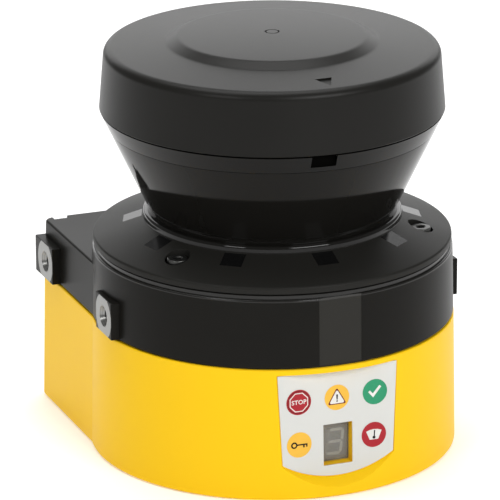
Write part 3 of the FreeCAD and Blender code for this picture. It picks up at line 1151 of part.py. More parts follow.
def make_boards():
    """The power board, the main board, their spacers and the ribbon cable to the head."""
    plate = rectangle("-board_half", "board_half", "-board_front", "board_rear")
    screw_holes = [circle("small_screw_radius + screw_clearance", x, y) for x, y in BOARD_POSTS]
    power = extruded("power_board", [plate], "board_thickness", level="power_board_height")
    power.pocket("holes", screw_holes, "board_thickness", level=POWER_TOP)
    half = "board_half"
    blocks = [
        rectangle("-%s * 0.5" % half, "%s * 0.05" % half, "-%s * 0.55" % half, "-%s * 0.1" % half),
        rectangle("%s * 0.3" % half, "%s * 0.75" % half, "%s * 0.1" % half, "%s * 0.55" % half),
    ]
    cans = [circle("tall_part * 0.7", "-%s * 0.6" % half, "%s * 0.3" % half),
            circle("tall_part * 0.7", "-%s * 0.25" % half, "%s * 0.45" % half),
            circle("tall_part * 0.5", "%s * 0.55" % half, "-%s * 0.45" % half)]
    power.pad("blocks", blocks, "tall_part", level=POWER_TOP)
    power.pad("cans", cans, "tall_part * 1.5", level=POWER_TOP)
    main = extruded("main_board", [plate], "board_thickness", level=MAIN_BOARD)
    main.pocket("holes", screw_holes, "board_thickness", level=MAIN_TOP)
    flats = [
        rectangle("-%s * 0.3" % half, "%s * 0.3" % half, "-%s * 0.35" % half, "%s * 0.25" % half),
        rectangle("%s * 0.45" % half, "%s * 0.85" % half, "-%s * 0.3" % half, "%s * 0.1" % half),
        rectangle("-%s * 0.85" % half, "-%s * 0.5" % half, "%s * 0.2" % half, "%s * 0.5" % half),
        rectangle("-%s * 0.75" % half, "-%s * 0.5" % half, "-%s * 0.5" % half, "-%s * 0.2" % half),
    ]
    main.pad("chips", flats, "chip_height", level=MAIN_TOP)
    low, high = "-(ribbon_width / 2 + fit_gap)", "ribbon_width / 2 + fit_gap"
    sockets = [
        rectangle(low, high, "%s - tall_part / 2" % RIBBON_Y, "%s - fit_gap / 2" % RIBBON_Y),
        rectangle("-%s * 0.35" % half, "%s * 0.35" % half, "-board_front + chip_height",
                  "-board_front + tall_part"),
    ]
    main.pad("sockets", sockets, "tall_part * 0.7", level=MAIN_TOP)
    spacers = extruded("board_spacers",
                       [hexagon("post_width / sqrt(3)", x, y) for x, y in BOARD_POSTS],
                       "board_spacing - board_thickness", level=POWER_TOP)
    studs = [circle("small_screw_radius", x, y) for x, y in BOARD_POSTS]
    spacers.pad("studs", studs, "board_thickness + small_screw_length - fit_gap", level=POWER_TOP,
                back=True)
    holes = [circle("small_screw_radius + thread_gap", x, y) for x, y in BOARD_POSTS]
    spacers.pocket("threads", holes, "small_screw_length", level=MAIN_BOARD)
    ribbon = rectangle("-ribbon_width / 2", "ribbon_width / 2", RIBBON_Y,
                       "%s + ribbon_thickness" % RIBBON_Y)
    cable = extruded("ribbon_cable", [ribbon],
                     "receiver_board_height - fit_gap - %s" % MAIN_TOP, level=MAIN_TOP)
    return [power, main, spacers, cable]


def make_frame():
    """The optics frame: ring below the ledge, rear column and head ring."""
    frame = extruded("optics_frame", [circle("frame_radius"), circle("frame_bore")],
                     "frame_thickness", level=FRAME_BOTTOM)
    height = "head_ring_bottom - %s" % LEDGE_BOTTOM
    frame.pad("column", [column_outline()], height + " + frame_thickness / 2 + head_ring_thickness / 2",
              level="%s - frame_thickness / 2" % LEDGE_BOTTOM)
    frame.pad("head_ring", [circle("head_ring_radius"), circle("head_ring_bore")],
              "head_ring_thickness", level="head_ring_bottom")
    holes = [circle("cover_screw_radius + screw_clearance", x, y) for x, y in frame_screw_spots()]
    frame.pocket("frame_holes", holes, "frame_thickness", level=LEDGE_BOTTOM)
    holes = [circle("small_screw_radius + thread_gap", x, y)
             for x, y in spots_around("cup_screw_circle", "60", 3)]
    frame.pocket("cup_threads", holes, "frame_thickness * 0.8", level=FRAME_BOTTOM, back=True)
    holes = [circle("small_screw_radius + thread_gap", x, y)
             for x, y in spots_around("spacer_circle", "0", 3)]
    frame.pocket("spacer_threads", holes, "spacer_stud", level=HEAD_RING_TOP)
    cut_ribbon_slot(frame, HEAD_RING_TOP, "%s - %s" % (HEAD_RING_TOP, FRAME_BOTTOM))
    return frame


def column_outline():
    """The rear column's section: a part of a ring, symmetric about the rear."""
    def draw(sketch):
        inside, outside = number("column_inner"), number("column_outer")
        turn = math.radians(number("column_half_angle"))
        start, end = math.pi / 2 - turn, math.pi / 2 + turn
        arcs = []
        for radius in (inside, outside):
            base = Part.Circle(V(0, 0, 0), V(0, 0, 1), radius)
            arcs.append(sketch.addGeometry(Part.ArcOfCircle(base, start, end)))
        sides = []
        for angle in (start, end):
            way = V(math.cos(angle), math.sin(angle), 0)
            sides.append(sketch.addGeometry(Part.LineSegment(way * inside, way * outside)))
        for arc, radius in zip(arcs, ("column_inner", "column_outer")):
            sketch.addConstraint(Sketcher.Constraint("Coincident", arc, 3, -1, 1))
            tie(sketch, Sketcher.Constraint("Radius", arc, number(radius)), radius)
        for side, end_point in zip(sides, (1, 2)):
            sketch.addConstraint(Sketcher.Constraint("Coincident", arcs[0], end_point, side, 1))
            sketch.addConstraint(Sketcher.Constraint("Coincident", arcs[1], end_point, side, 2))
        for side, sign in zip(sides, ("", "-")):
            reach = "%scolumn_outer * sin(column_half_angle)" % sign
            tie(sketch, Sketcher.Constraint("DistanceX", -1, 1, side, 2, number(reach)), reach)
            reach = "%scolumn_inner * sin(column_half_angle)" % sign
            tie(sketch, Sketcher.Constraint("DistanceX", -1, 1, side, 1, number(reach)), reach)
    return draw


def make_head():
    """Lens, laser and receiver in the head, under the cap."""
    holder_top = "(%s + holder_height)" % HEAD_RING_TOP
    shelf = "(%s + lens_seat)" % HEAD_RING_TOP
    holder = turned_piece("lens_holder", [
        ("head_ring_bore", HEAD_RING_TOP),
        ("holder_radius", HEAD_RING_TOP),
        ("holder_radius", holder_top),
        ("holder_radius - holder_wall", holder_top),
        ("lens_radius + fit_gap", shelf + " + lens_edge"),
        ("lens_radius + fit_gap", shelf),
        ("head_ring_bore", shelf),
    ])
    edge = "(%s + lens_edge)" % shelf
    lens = Piece("receiver_lens")
    profile = [("laser_radius + fit_gap", shelf), ("lens_radius", shelf), ("lens_radius", edge)]
    for share in ("0.9", "0.75", "0.55", "0.35"):
        profile.append(("lens_radius * " + share, "%s + lens_dome * (1 - %s ^ 2)" % (edge, share)))
    profile.append(("laser_radius + fit_gap",
                    "%s + lens_dome * (1 - ((laser_radius + fit_gap) / lens_radius) ^ 2)" % edge))
    lens.turned("dome", profile)
    bridge_top = "(%s + bridge_thickness)" % holder_top
    bridge = extruded("laser_bridge",
                      [rectangle("-holder_radius", "holder_radius", "-bridge_width / 2",
                                 "bridge_width / 2"), circle("laser_radius + thread_gap")],
                      "bridge_thickness", level=holder_top)
    laser_low = "(%s - laser_length)" % bridge_top
    laser = turned_piece("laser_module", [
        ("beam_radius", laser_low),
        ("laser_radius", laser_low),
        ("laser_radius", bridge_top),
        ("0", bridge_top),
        ("0", laser_low + " + laser_length / 2"),
        ("beam_radius", laser_low + " + laser_length / 2"),
    ])
    board = extruded("receiver_board", [circle("receiver_board_radius")], "board_thickness",
                     level="receiver_board_height")
    holes = [circle("small_screw_radius + screw_clearance", x, y)
             for x, y in spots_around("spacer_circle", "0", 3)]
    board_top = "(receiver_board_height + board_thickness)"
    board.pocket("holes", holes, "board_thickness", level=board_top)
    radius = "receiver_board_radius"
    chips = [
        rectangle("-%s * 0.25" % radius, "%s * 0.25" % radius, "%s * 0.1" % radius,
                  "%s * 0.6" % radius),
        rectangle("-%s * 0.6" % radius, "-%s * 0.35" % radius, "-%s * 0.5" % radius,
                  "-%s * 0.1" % radius),
        rectangle("%s * 0.3" % radius, "%s * 0.6" % radius, "-%s * 0.55" % radius,
                  "-%s * 0.3" % radius),
    ]
    board.pad("chips", chips, "chip_height", level=board_top)
    diode = extruded("photodiode", [circle("diode_radius")], "diode_height",
                     level="receiver_board_height", back=True)
    spots = spots_around("spacer_circle", "0", 3)
    spacers = extruded("head_spacers", [circle("spacer_radius", x, y) for x, y in spots],
                       "receiver_board_height - %s" % HEAD_RING_TOP, level=HEAD_RING_TOP)
    spacers.pad("studs", [circle("small_screw_radius", x, y) for x, y in spots],
                "spacer_stud - fit_gap", level=HEAD_RING_TOP, back=True)
    spacers.pocket("threads", [circle("small_screw_radius + thread_gap", x, y) for x, y in spots],
                   "small_screw_length", level="receiver_board_height")
    return [holder, lens, bridge, laser, board, diode, spacers]


def make_motor():
    """The standing half of the flat motor: cup, bearings, stator, coils, board and fork."""
    flange_low = "(%s - cup_flange_thickness)" % FRAME_BOTTOM
    floor_top = "(cup_bottom + cup_floor)"
    inner = "(cup_radius - cup_wall)"
    step = "(tube_radius + tube_step)"
    low_end = "(bearing_low + bearing_width)"
    high_start = "(%s - bearing_width)" % BEARING_TOP
    shoulder = "(bearing_radius - bearing_shoulder)"
    cup = turned_piece("motor_cup", [
        ("bearing_radius", "cup_bottom"),
        ("cup_radius", "cup_bottom"),
        ("cup_radius", flange_low),
        ("cup_flange_radius", flange_low),
        ("cup_flange_radius", FRAME_BOTTOM),
        (inner, FRAME_BOTTOM),
        (inner, floor_top),
        (step, floor_top),
        (step, "stator_bottom"),
        ("tube_radius", "stator_bottom"),
        ("tube_radius", BEARING_TOP),
        ("bearing_radius", BEARING_TOP),
        ("bearing_radius", high_start),
        (shoulder, high_start),
        (shoulder, low_end),
        ("bearing_radius", low_end),
    ])
    holes = [circle("small_screw_radius + screw_clearance", x, y)
             for x, y in spots_around("cup_screw_circle", "60", 3)]
    cup.pocket("screw_holes", holes, "cup_flange_thickness", level=FRAME_BOTTOM)
    bore = "(spindle_radius + running_fit)"
    race = "(bearing_radius - fit_gap / 10)"
    lower = turned_piece("lower_bearing", sleeve(bore, race, "bearing_low", low_end))
    upper = turned_piece("upper_bearing", sleeve(bore, race, high_start, BEARING_TOP))
    plug = extruded("bearing_plug", [circle(race)], "cup_floor", level="cup_bottom")
    stator = extruded("stator_core", [circle("stator_hub"), circle("tube_radius + thread_gap")],
                      "stator_height", level="stator_bottom")
    start = "(stator_hub - tube_step)"
    shoe = "(stator_radius - shoe_thickness)"
    tooth = stator.pad("tooth", [rectangle("-tooth_width / 2", "tooth_width / 2", start,
                                           shoe + " + shoe_thickness / 2")],
                       "stator_height", level="stator_bottom")
    stator.around("teeth", tooth, "tooth_count")
    shoe_piece = stator.pad("shoe", [pole_shoe(shoe)], "stator_height", level="stator_bottom")
    stator.around("shoes", shoe_piece, "tooth_count")
    coils = Piece("stator_coils")
    near = "(stator_hub + coil_width)"
    far = "(%s * cos%s - fit_gap)" % (shoe, SHOE_HALF_TURN)
    gap = "thread_gap"
    low = "(stator_bottom - coil_overhang)"
    tall = "stator_height + 2 * coil_overhang"
    wound = rectangle("-(tooth_width / 2 + coil_width)", "tooth_width / 2 + coil_width", near, far)
    hollow = rectangle("-(tooth_width / 2 + %s)" % gap, "tooth_width / 2 + " + gap,
                       near + " - fit_gap", far + " + fit_gap")
    coil = coils.pad("winding", [wound], tall, level=low)
    opening = coils.pocket("opening", [hollow], "stator_height + 2 * %s" % gap,
                           level="stator_bottom + stator_height + %s" % gap)
    both_steps = coils.body.newObject("PartDesign::PolarPattern", "stator_coils_all")
    both_steps.Originals = [coil, opening]
    axis = [part for part in coils.body.Origin.OriginFeatures if part.Role == "Z_Axis"]
    both_steps.Axis = (axis[0], [""])
    both_steps.setExpression("Occurrences", bound("tooth_count"))
    coils.body.Tip = both_steps
    board = extruded("motor_board", [circle("motor_board_radius"), circle(step + " + fit_gap")],
                     "board_thickness", level=floor_top)
    fork_x = "(fork_reach + fork_depth)"
    fork = extruded("encoder_fork", [rectangle("-" + fork_x, "-fork_reach", "-fork_width / 2",
                                               "fork_width / 2")],
                    "fork_height", level=LEDGE_BOTTOM)
    disc_middle = "(hub_top + disc_thickness / 2)"
    slot = rectangle("-(disc_radius + fit_gap * 4)", "-(fork_reach - 1)",
                     disc_middle + " - fork_slot / 2", disc_middle + " + fork_slot / 2")
    fork.pocket("slot", [slot], "fork_width", plane="XZ", level="fork_width / 2")
    return [cup, lower, upper, plug, stator, coils, board, fork]


def pole_shoe(inner):
    """A pole shoe's section: a part of a ring at the end of a tooth."""
    half_turn = SHOE_HALF_TURN
    corners = []
    for share in (-1, -0.5, 0, 0.5, 1):
        turn = "(%s * %s)" % (share, half_turn)
        corners.append(("stator_radius * sin%s" % turn, "stator_radius * cos%s" % turn))
    for share in (1, 0, -1):
        turn = "(%s * %s)" % (share, half_turn)
        corners.append(("%s * sin%s" % (inner, turn), "%s * cos%s" % (inner, turn)))
    return polygon(corners)


def make_rotor():
    """The turning half: spindle, bell, magnet, encoder disc, mirror carrier and mirror."""
    spindle = extruded("spindle", [circle("spindle_radius")], "spindle_top - spindle_bottom",
                       level="spindle_bottom")
    seat = "(carrier_bore + running_fit / 2)"
    clip_top = "(bearing_low - fit_gap)"
    clip = turned_piece("spindle_clip", sleeve(seat, "clip_radius",
                                               clip_top + " - clip_thickness", clip_top))
    bell_inner = "(stator_radius + air_gap + magnet_thickness)"
    bell_under = "(bell_top - bell_thickness)"
    hub_low = "(%s + hub_gap)" % BEARING_TOP
    skirt_low = "(magnet_middle - magnet_height / 2)"
    bell = turned_piece("rotor_bell", [
        (seat, hub_low),
        ("hub_radius", hub_low),
        ("hub_radius", bell_under),
        (bell_inner, bell_under),
        (bell_inner, skirt_low),
        (BELL_RADIUS, skirt_low),
        (BELL_RADIUS, "bell_top"),
        ("hub_radius", "bell_top"),
        ("hub_radius", "hub_top"),
        (seat, "hub_top"),
    ])
    magnet = turned_piece("magnet_ring", sleeve("stator_radius + air_gap",
                                                bell_inner + " - thread_gap / 2", skirt_low,
                                                skirt_low + " + magnet_height"))
    disc = extruded("encoder_disc", [circle("disc_radius"), circle(seat)], "disc_thickness",
                    level="hub_top")
    slot_far = "(disc_radius - air_gap * 2)"
    slot = disc.pocket("slot", [rectangle("-fork_slot / 4", "fork_slot / 4",
                                          slot_far + " - slot_length", slot_far)],
                       "disc_thickness", level=DISC_TOP)
    disc.around("slots", slot, "slot_count")
    foot_top = "(%s + carrier_foot_height)" % DISC_TOP
    carrier = Piece("mirror_carrier")
    carrier.pad("foot", [circle("carrier_foot_radius")], "carrier_foot_height", level=DISC_TOP)
    carrier.pad("body", [circle("carrier_radius")], "carrier_top - %s" % foot_top, level=foot_top)
    behind = "(mirror_thickness * sqrt(2))"
    reach = "(carrier_foot_radius + tall_part)"
    slope = polygon([
        ("-" + reach, "mirror_centre - %s - %s" % (behind, reach)),
        (reach, "mirror_centre - %s + %s" % (behind, reach)),
        ("-" + reach, "mirror_centre - %s + %s" % (behind, reach)),
    ])
    carrier.pocket("slope", [slope], "2 * " + reach, plane="YZ", level=reach)
    carrier.pocket("bore", [circle(seat)], "spindle_top + fit_gap - %s" % DISC_TOP,
                   level=DISC_TOP, back=True)
    mirror = Piece("scan_mirror")
    across, along, corner = "(mirror_width / 2)", "(mirror_length / 2)", "mirror_corner"
    outline = polygon([
        ("-" + across, "-(%s - %s)" % (along, corner)),
        ("-(%s - %s)" % (across, corner), "-" + along),
        ("%s - %s" % (across, corner), "-" + along),
        (across, "-(%s - %s)" % (along, corner)),
        (across, "%s - %s" % (along, corner)),
        ("%s - %s" % (across, corner), along),
        ("-(%s - %s)" % (across, corner), along),
        ("-" + across, "%s - %s" % (along, corner)),
    ])
    sheet_sketch = mirror.sketch("face", [outline], "XY", "mirror_centre", tilt="45")
    plate = mirror.feature("Pad", "plate", sheet_sketch)
    plate.setExpression("Length", bound("mirror_thickness - thread_gap"))
    plate.Reversed = True
    return [spindle, clip, bell, magnet, disc, carrier, mirror]


def make_sensors():
    """The contamination sensors below the windows in the flange."""
    beds = turned_rectangles("(sensor_circle + sensor_length / 2)",
                             "(sensor_circle - sensor_length / 2)", "(sensor_width / 2)")
    sensors = extruded("contamination_sensors", beds, "sensor_depth",
                       level="%s - sensor_depth" % SEAT)
    heads = [circle("pin_radius * 2", x, y) for x, y in window_spots()]
    sensors.pad("domes", heads, "chip_height", level=SEAT)
    return sensors


def window_spots():
    """Places below the contamination windows."""
    count = int(number("window_side_count"))
    spots = []
    for step in range(-count, count + 1):
        turn = "(%d * window_pitch)" % step
        spots.append(("sensor_circle * sin%s" % turn, "-sensor_circle * cos%s" % turn))
    return spots


def check(piece):
    """Stop with a message when a feature failed, cut nothing or left a bad shape."""
    for feature in piece.body.Group:
        if "Invalid" in feature.State or "Error" in feature.State:
            raise ValueError("%s failed" % feature.Name)
        if feature.TypeId.split("::")[1] in ("Pocket", "Groove", "SubtractiveLoft"):
            if feature.Shape.Volume > feature.BaseFeature.Shape.Volume - 1e-6:
                raise ValueError("%s cuts nothing" % feature.Name)
    shape = piece.body.Shape
    if shape.isNull() or not shape.isValid():
        raise ValueError("%s has a bad shape" % piece.label)


def main():
    """Build every piece, check it and write it out."""
    pieces = [make_lower_housing(), make_upper_housing(), make_optics_cover(), make_head_cap()]
    pieces += make_seals()
    pieces += make_fasteners()
    pieces += make_display()
    pieces += make_connectors()
    pieces += make_boards()
    pieces.append(make_frame())
    pieces += make_head()
    pieces += make_motor()
    pieces += make_rotor()
    pieces.append(make_sensors())
    doc.recompute()
    os.makedirs("parts", exist_ok=True)
    for piece in pieces:
        check(piece)
        shape = piece.body.Shape
        shape.exportStep("parts/%s.step" % piece.label)
        box = shape.optimalBoundingBox(False)
        print("%-22s solids %d volume %9.1f  x %7.2f %7.2f  y %7.2f %7.2f  z %7.2f %7.2f" % (
            piece.label, len(shape.Solids), shape.Volume,
            box.XMin, box.XMax, box.YMin, box.YMax, box.ZMin, box.ZMax))


main()
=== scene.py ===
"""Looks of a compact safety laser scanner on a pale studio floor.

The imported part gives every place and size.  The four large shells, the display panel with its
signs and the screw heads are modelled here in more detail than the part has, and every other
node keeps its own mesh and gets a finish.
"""
import json
import logging
import math
from dataclasses import dataclass, field, replace
from enum import Enum
from functools import partialmethod
from typing import Callable, Dict, List, Optional, Sequence, Tuple, Union

import bpy
from bpy.types import Material, Node, NodeSocket, Object
from mathutils import Matrix, Vector


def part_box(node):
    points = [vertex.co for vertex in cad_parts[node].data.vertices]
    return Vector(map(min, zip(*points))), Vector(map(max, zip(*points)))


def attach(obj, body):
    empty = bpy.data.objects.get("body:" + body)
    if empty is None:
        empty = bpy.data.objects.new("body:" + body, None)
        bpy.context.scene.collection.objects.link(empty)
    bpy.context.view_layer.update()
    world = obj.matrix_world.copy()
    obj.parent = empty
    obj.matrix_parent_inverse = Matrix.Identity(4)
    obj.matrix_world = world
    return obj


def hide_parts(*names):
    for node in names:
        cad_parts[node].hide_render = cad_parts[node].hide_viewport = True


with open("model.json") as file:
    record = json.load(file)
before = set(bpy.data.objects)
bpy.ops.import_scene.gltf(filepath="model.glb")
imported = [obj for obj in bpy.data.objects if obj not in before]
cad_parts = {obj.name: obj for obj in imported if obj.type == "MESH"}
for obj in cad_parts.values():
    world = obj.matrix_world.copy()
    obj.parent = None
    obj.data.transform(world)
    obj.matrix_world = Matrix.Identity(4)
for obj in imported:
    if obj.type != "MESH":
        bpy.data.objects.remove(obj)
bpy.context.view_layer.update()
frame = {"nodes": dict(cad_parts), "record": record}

logging.basicConfig(level=logging.INFO, format="%(name)s: %(message)s")
LOG = logging.getLogger("scanner")

MM = 0.001
Point = Colour = Tuple[float, float, float]
Place = Row = Tuple[float, float]
# A printed shape: its name, outline, layer from 1 and ink.
Print = Tuple[str, List[Place], int, Material]
# The walls' lean, and the degrees of cover screws and light windows from the front.
DRAFT = math.tan(math.radians(1.2))
COVER_TURNS = (60, 180, 300)
WINDOW_TURNS = tuple(37.5 * step for step in range(-3, 4))
# The body of every piece that is modelled here.
BODY = "housing"


class Join(Enum):
    """How two solids are combined."""

    ADD = "UNION"
    CUT = "DIFFERENCE"


class Axis(Enum):
    """A way for a drum to run: the turn that lays it so, and the way itself."""

    X = ((0, math.pi / 2, 0), (1, 0, 0))
    Y = ((-math.pi / 2, 0, 0), (0, 1, 0))
    Z = ((0, 0, 0), (0, 0, 1))


# ---- modelling by hand -------------------------------------------------------------------


class Bench:
    """The modelling steps that every sub-assembly uses, in millimetres."""

    @staticmethod
    def clear() -> None:
        """Deselect everything."""
        bpy.ops.object.select_all(action="DESELECT")

    @staticmethod
    def hold(piece: Object) -> None:
        """Make one object the only selected and active one."""
        Bench.clear()
        piece.select_set(True)
        bpy.context.view_layer.objects.active = piece

    @staticmethod
    def edit() -> None:
        """Enter edit mode with vertex selection."""
        bpy.ops.object.mode_set(mode="EDIT")
        bpy.ops.mesh.select_mode(type="VERT")

    @staticmethod
    def leave() -> None:
        """Leave edit mode."""
        bpy.ops.object.mode_set(mode="OBJECT")

    @staticmethod
    def apply(piece: Object) -> None:
        """Apply a piece's place, turn and size to its mesh."""
        Bench.hold(piece)
        bpy.ops.object.transform_apply(location=True, rotation=True, scale=True)

    @staticmethod
    def swing(piece: Object, turn: float) -> None:
        """Turn a piece round the scan axis by some degrees."""
        piece.rotation_euler = (0, 0, math.radians(turn))
        Bench.apply(piece)

    @staticmethod
    def pick(piece: Object, wanted: Callable[[Vector], bool]) -> None:
        """Select the vertices that a test on their place picks.

        Args:
            piece: the object, in object mode.
            wanted: a test on a vertex's place in millimetres.
        """
        for part in (piece.data.vertices, piece.data.edges, piece.data.polygons):
            for element in part:
                element.select = False
        for vertex in piece.data.vertices:
            vertex.select = wanted(vertex.co / MM)

    @staticmethod
    def face(piece: Object, wanted: Callable[[Vector], bool]) -> None:
        """Close the ring of vertices that a test picks with a face.

        Args:
            piece: the object, in object mode.
            wanted: a test on a vertex's place in millimetres.
        """
        Bench.pick(piece, wanted)
        Bench.edit()
        bpy.ops.mesh.edge_face_add()
        Bench.leave()

    @staticmethod
    def rise(rows: Sequence[Row]) -> None:
        """Extrude the selected ring through rows of size and height, in edit mode.

        Args:
            rows: pairs of ring size and height; a size of 0 closes the ring to a pole.
        """
        size, height = rows[0]
        for next_size, next_height in rows[1:]:
            bpy.ops.mesh.extrude_edges_move(
                TRANSFORM_OT_translate={"value": (0, 0, (next_height - height) * MM)})
            if next_size == 0:
                bpy.ops.mesh.merge(type="CENTER")
                return
            if next_size != size:
                scale = next_size / size
                bpy.ops.transform.resize(value=(scale, scale, 1), center_override=(0, 0, 0))
            size, height = next_size, next_height

    @staticmethod
    def weld() -> None:
        """Select the whole mesh and merge its doubles, in edit mode."""
        bpy.ops.mesh.select_all(action="SELECT")
        bpy.ops.mesh.remove_doubles(threshold=0.002 * MM)

    @staticmethod
    def tidy() -> None:
        """Merge doubles and turn the faces outwards, in edit mode."""
        Bench.weld()
        bpy.ops.mesh.normals_make_consistent(inside=False)

    @staticmethod
    def clean(piece: Object) -> None:
        """Tidy a piece that is in object mode.

        Args:
            piece: the piece.
        """
        Bench.hold(piece)
        Bench.edit()
        Bench.tidy()
        Bench.leave()

    @staticmethod
    def circle(name: str, count: int, radius: float, height: float = 0.0) -> Object:
        """A wire circle round the scan axis.

        Args:
            name: the piece's name.
            count: its corners.
            radius: its radius in millimetres.
            height: its height in millimetres.

        Returns:
            The new piece.
        """
        Bench.clear()
        bpy.ops.mesh.primitive_circle_add(vertices=count, radius=radius * MM,
                                          location=(0, 0, height * MM))
        piece = bpy.context.object
        piece.name = name
        Bench.apply(piece)
        return piece

    @staticmethod
    def turn(name: str, rows: Sequence[Row], count: int = 192, closed: bool = False,
             capped: bool = True) -> Object:
        """Turn a profile round the scan axis.

        Args:
            name: the piece's name.
            rows: radius and height pairs.
            count: corners of each ring.
            closed: whether the last row runs on to the first one.
            capped: whether open ends get a flat face.

        Returns:
            The new piece.
        """
        piece = Bench.circle(name, count, *rows[0])
        Bench.edit()
        bpy.ops.mesh.select_all(action="SELECT")
        Bench.rise(list(rows) + ([rows[0]] if closed else []))
        Bench.tidy()
        if capped and not closed:
            bpy.ops.mesh.select_all(action="DESELECT")
            bpy.ops.mesh.select_non_manifold(extend=False, use_wire=False, use_boundary=True,
                                             use_multi_face=False, use_non_contiguous=False,
                                             use_verts=False)
            bpy.ops.mesh.edge_face_add()
            Bench.tidy()
        Bench.leave()
        return piece

    @staticmethod
    def trace(start: Point, path: Sequence[Point]) -> None:
        """Extrude the selected vertex along a path of places, in edit mode.

        Args:
            start: the selected vertex's place in millimetres.
            path: the places to draw to.
        """
        here = Vector(start)
        for target in path:
            step = (Vector(target) - here) * MM
            bpy.ops.mesh.extrude_vertices_move(TRANSFORM_OT_translate={"value": tuple(step)})
            here = Vector(target)

    @staticmethod
    def plate(name: str, outline: Sequence[Point], way: Point) -> Object:
        """A flat plate with any outline, extruded along a way.

        Args:
            name: the piece's name.
            outline: the corners of the start face in order.
            way: the extrusion in millimetres.

        Returns:
            The new piece.
        """
        piece = Bench.circle(name, 3, 1.0)
        first = piece.data.vertices[0].co.copy()
        Bench.pick(piece, lambda spot: (spot * MM - first).length > 0.01 * MM)
        Bench.edit()
        bpy.ops.mesh.delete(type="VERT")
        bpy.ops.mesh.select_all(action="SELECT")
        bpy.ops.transform.translate(value=tuple(Vector(outline[0]) * MM - first))
        Bench.trace(outline[0], list(outline[1:]) + [outline[0]])
        Bench.weld()
        bpy.ops.mesh.edge_face_add()
        if any(way):
            bpy.ops.mesh.extrude_region_move(
                TRANSFORM_OT_translate={"value": tuple(Vector(way) * MM)})
        Bench.tidy()
        Bench.leave()
        return piece

    @staticmethod
    def brick(name: str, low: Point, high: Point) -> Object:
        """A block between two corners.

        Args:
            name: the piece's name.
            low: its lower corner in millimetres.
            high: its upper corner.

        Returns:
            The new piece.
        """
        outline = [(x, y, low[2]) for x, y in ((low[0], low[1]), (high[0], low[1]),
                                               (high[0], high[1]), (low[0], high[1]))]
        return Bench.plate(name, outline, (0, 0, high[2] - low[2]))

    @staticmethod
    def drum(name: str, foot: Point, radius: float, length: float, axis: Axis = Axis.Z,
             count: int = 48) -> Object:
        """A cylinder that starts at a foot point and runs along an axis.

        Args:
            name: the piece's name.
            foot: middle of the start face in millimetres.
            radius: its radius in millimetres.
            length: its length along the axis, negative for the other way.
            axis: the axis that it runs along.
            count: corners round it.

        Returns:
            The new piece.
        """
        Bench.clear()
        turn, along = axis.value
        middle = (Vector(foot) + Vector(along) * length / 2) * MM
        bpy.ops.mesh.primitive_cylinder_add(vertices=count, radius=radius * MM,
                                            depth=abs(length) * MM, location=tuple(middle),
                                            rotation=turn)
        piece = bpy.context.object
        piece.name = name
        Bench.apply(piece)
        return piece

    @staticmethod
    def modify(piece: Object, kind: str, **settings: object) -> None:
        """Add a modifier to a piece and apply it.

        Args:
            piece: the object to change.
            kind: the modifier's type.
            settings: its attributes.
        """
        Bench.hold(piece)
        step = piece.modifiers.new(kind.lower(), kind)
        for key, value in settings.items():
            setattr(step, key, value)
        bpy.ops.object.modifier_apply(modifier=step.name)

    @staticmethod
    def combine(piece: Object, way: Join, *tools: Object) -> None:
        """Add tool solids to a piece or cut them away, and drop the tools.

        Args:
            piece: the solid to change.
            way: how they are combined.
            tools: the tools, used one by one.
        """
        for tool in tools:
            Bench.modify(piece, "BOOLEAN", operation=way.value, solver="EXACT", object=tool)
            bpy.data.objects.remove(tool, do_unlink=True)

    @staticmethod
    def gather(pieces: Sequence[Object], name: str) -> Object:
        """Join pieces into one object.

        Args:
            pieces: the pieces, two or more.
            name: the joined piece's name.

        Returns:
            The joined piece.
        """
        Bench.hold(pieces[0])
        for piece in pieces:
            piece.select_set(True)
        bpy.ops.object.join()
        pieces[0].name = name
        return pieces[0]

    @staticmethod
    def soften(piece: Object, width: float, segments: int = 2) -> None:
        """Round the edges of a piece that are sharper than 40 degrees."""
        Bench.modify(piece, "BEVEL", width=width * MM, segments=segments, limit_method="ANGLE",
                     angle_limit=math.radians(40), use_clamp_overlap=True)

    @staticmethod
    def smooth(piece: Object, angle: float) -> None:
        """Shade smooth apart from edges sharper than an angle, and even the normals out.

        Args:
            piece: the object to shade.
            angle: the angle in degrees.
        """
        Bench.hold(piece)
        bpy.ops.object.shade_smooth_by_angle(angle=math.radians(angle))
        Bench.modify(piece, "WEIGHTED_NORMAL", keep_sharp=True)

    @staticmethod
    def settle(piece: Object, material: Material, slot: str, nodes: Sequence[str] = (),
               smooth: float = 30.0) -> None:
        """Give a piece its finish, its body and the nodes that it stands for.

        Args:
            piece: the finished mesh.
            material: its finish.
            slot: the record's material slot; not used.
            nodes: nodes that it replaces.
            smooth: smoothing angle in degrees, or 0 for flat faces.
        """
        if smooth:
            Bench.smooth(piece, smooth)
        piece.data.materials.clear()
        piece.data.materials.append(material)
        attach(piece, BODY)
        if nodes:
            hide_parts(*nodes)
        LOG.info("piece %s: %d faces", piece.name, len(piece.data.polygons))


def round_corner(middle: Place, radius: float, start: float, end: float,
                 steps: int = 6) -> List[Place]:
    """Points on an arc.

    Args:
        middle: centre of the arc.
        radius: its radius.
        start: first angle in degrees.
        end: last angle in degrees.
        steps: number of pieces.

    Returns:
        The points from start to end.
    """
    points = []
    for step in range(steps + 1):
        turn = math.radians(start + (end - start) * step / steps)
        points.append((middle[0] + radius * math.cos(turn), middle[1] + radius * math.sin(turn)))
    return points


def spot_at(circle: float, turn: float) -> Place:
    """Place on a circle round the scan axis, counted in degrees from the front."""
    return circle * math.sin(math.radians(turn)), -circle * math.cos(math.radians(turn))


# ---- finishes ----------------------------------------------------------------------------


Value = Union["Signal", float]


def shade(colour: Colour, factor: float) -> Colour:
    """A colour made darker or lighter by a factor."""
    return tuple(value * factor for value in colour)


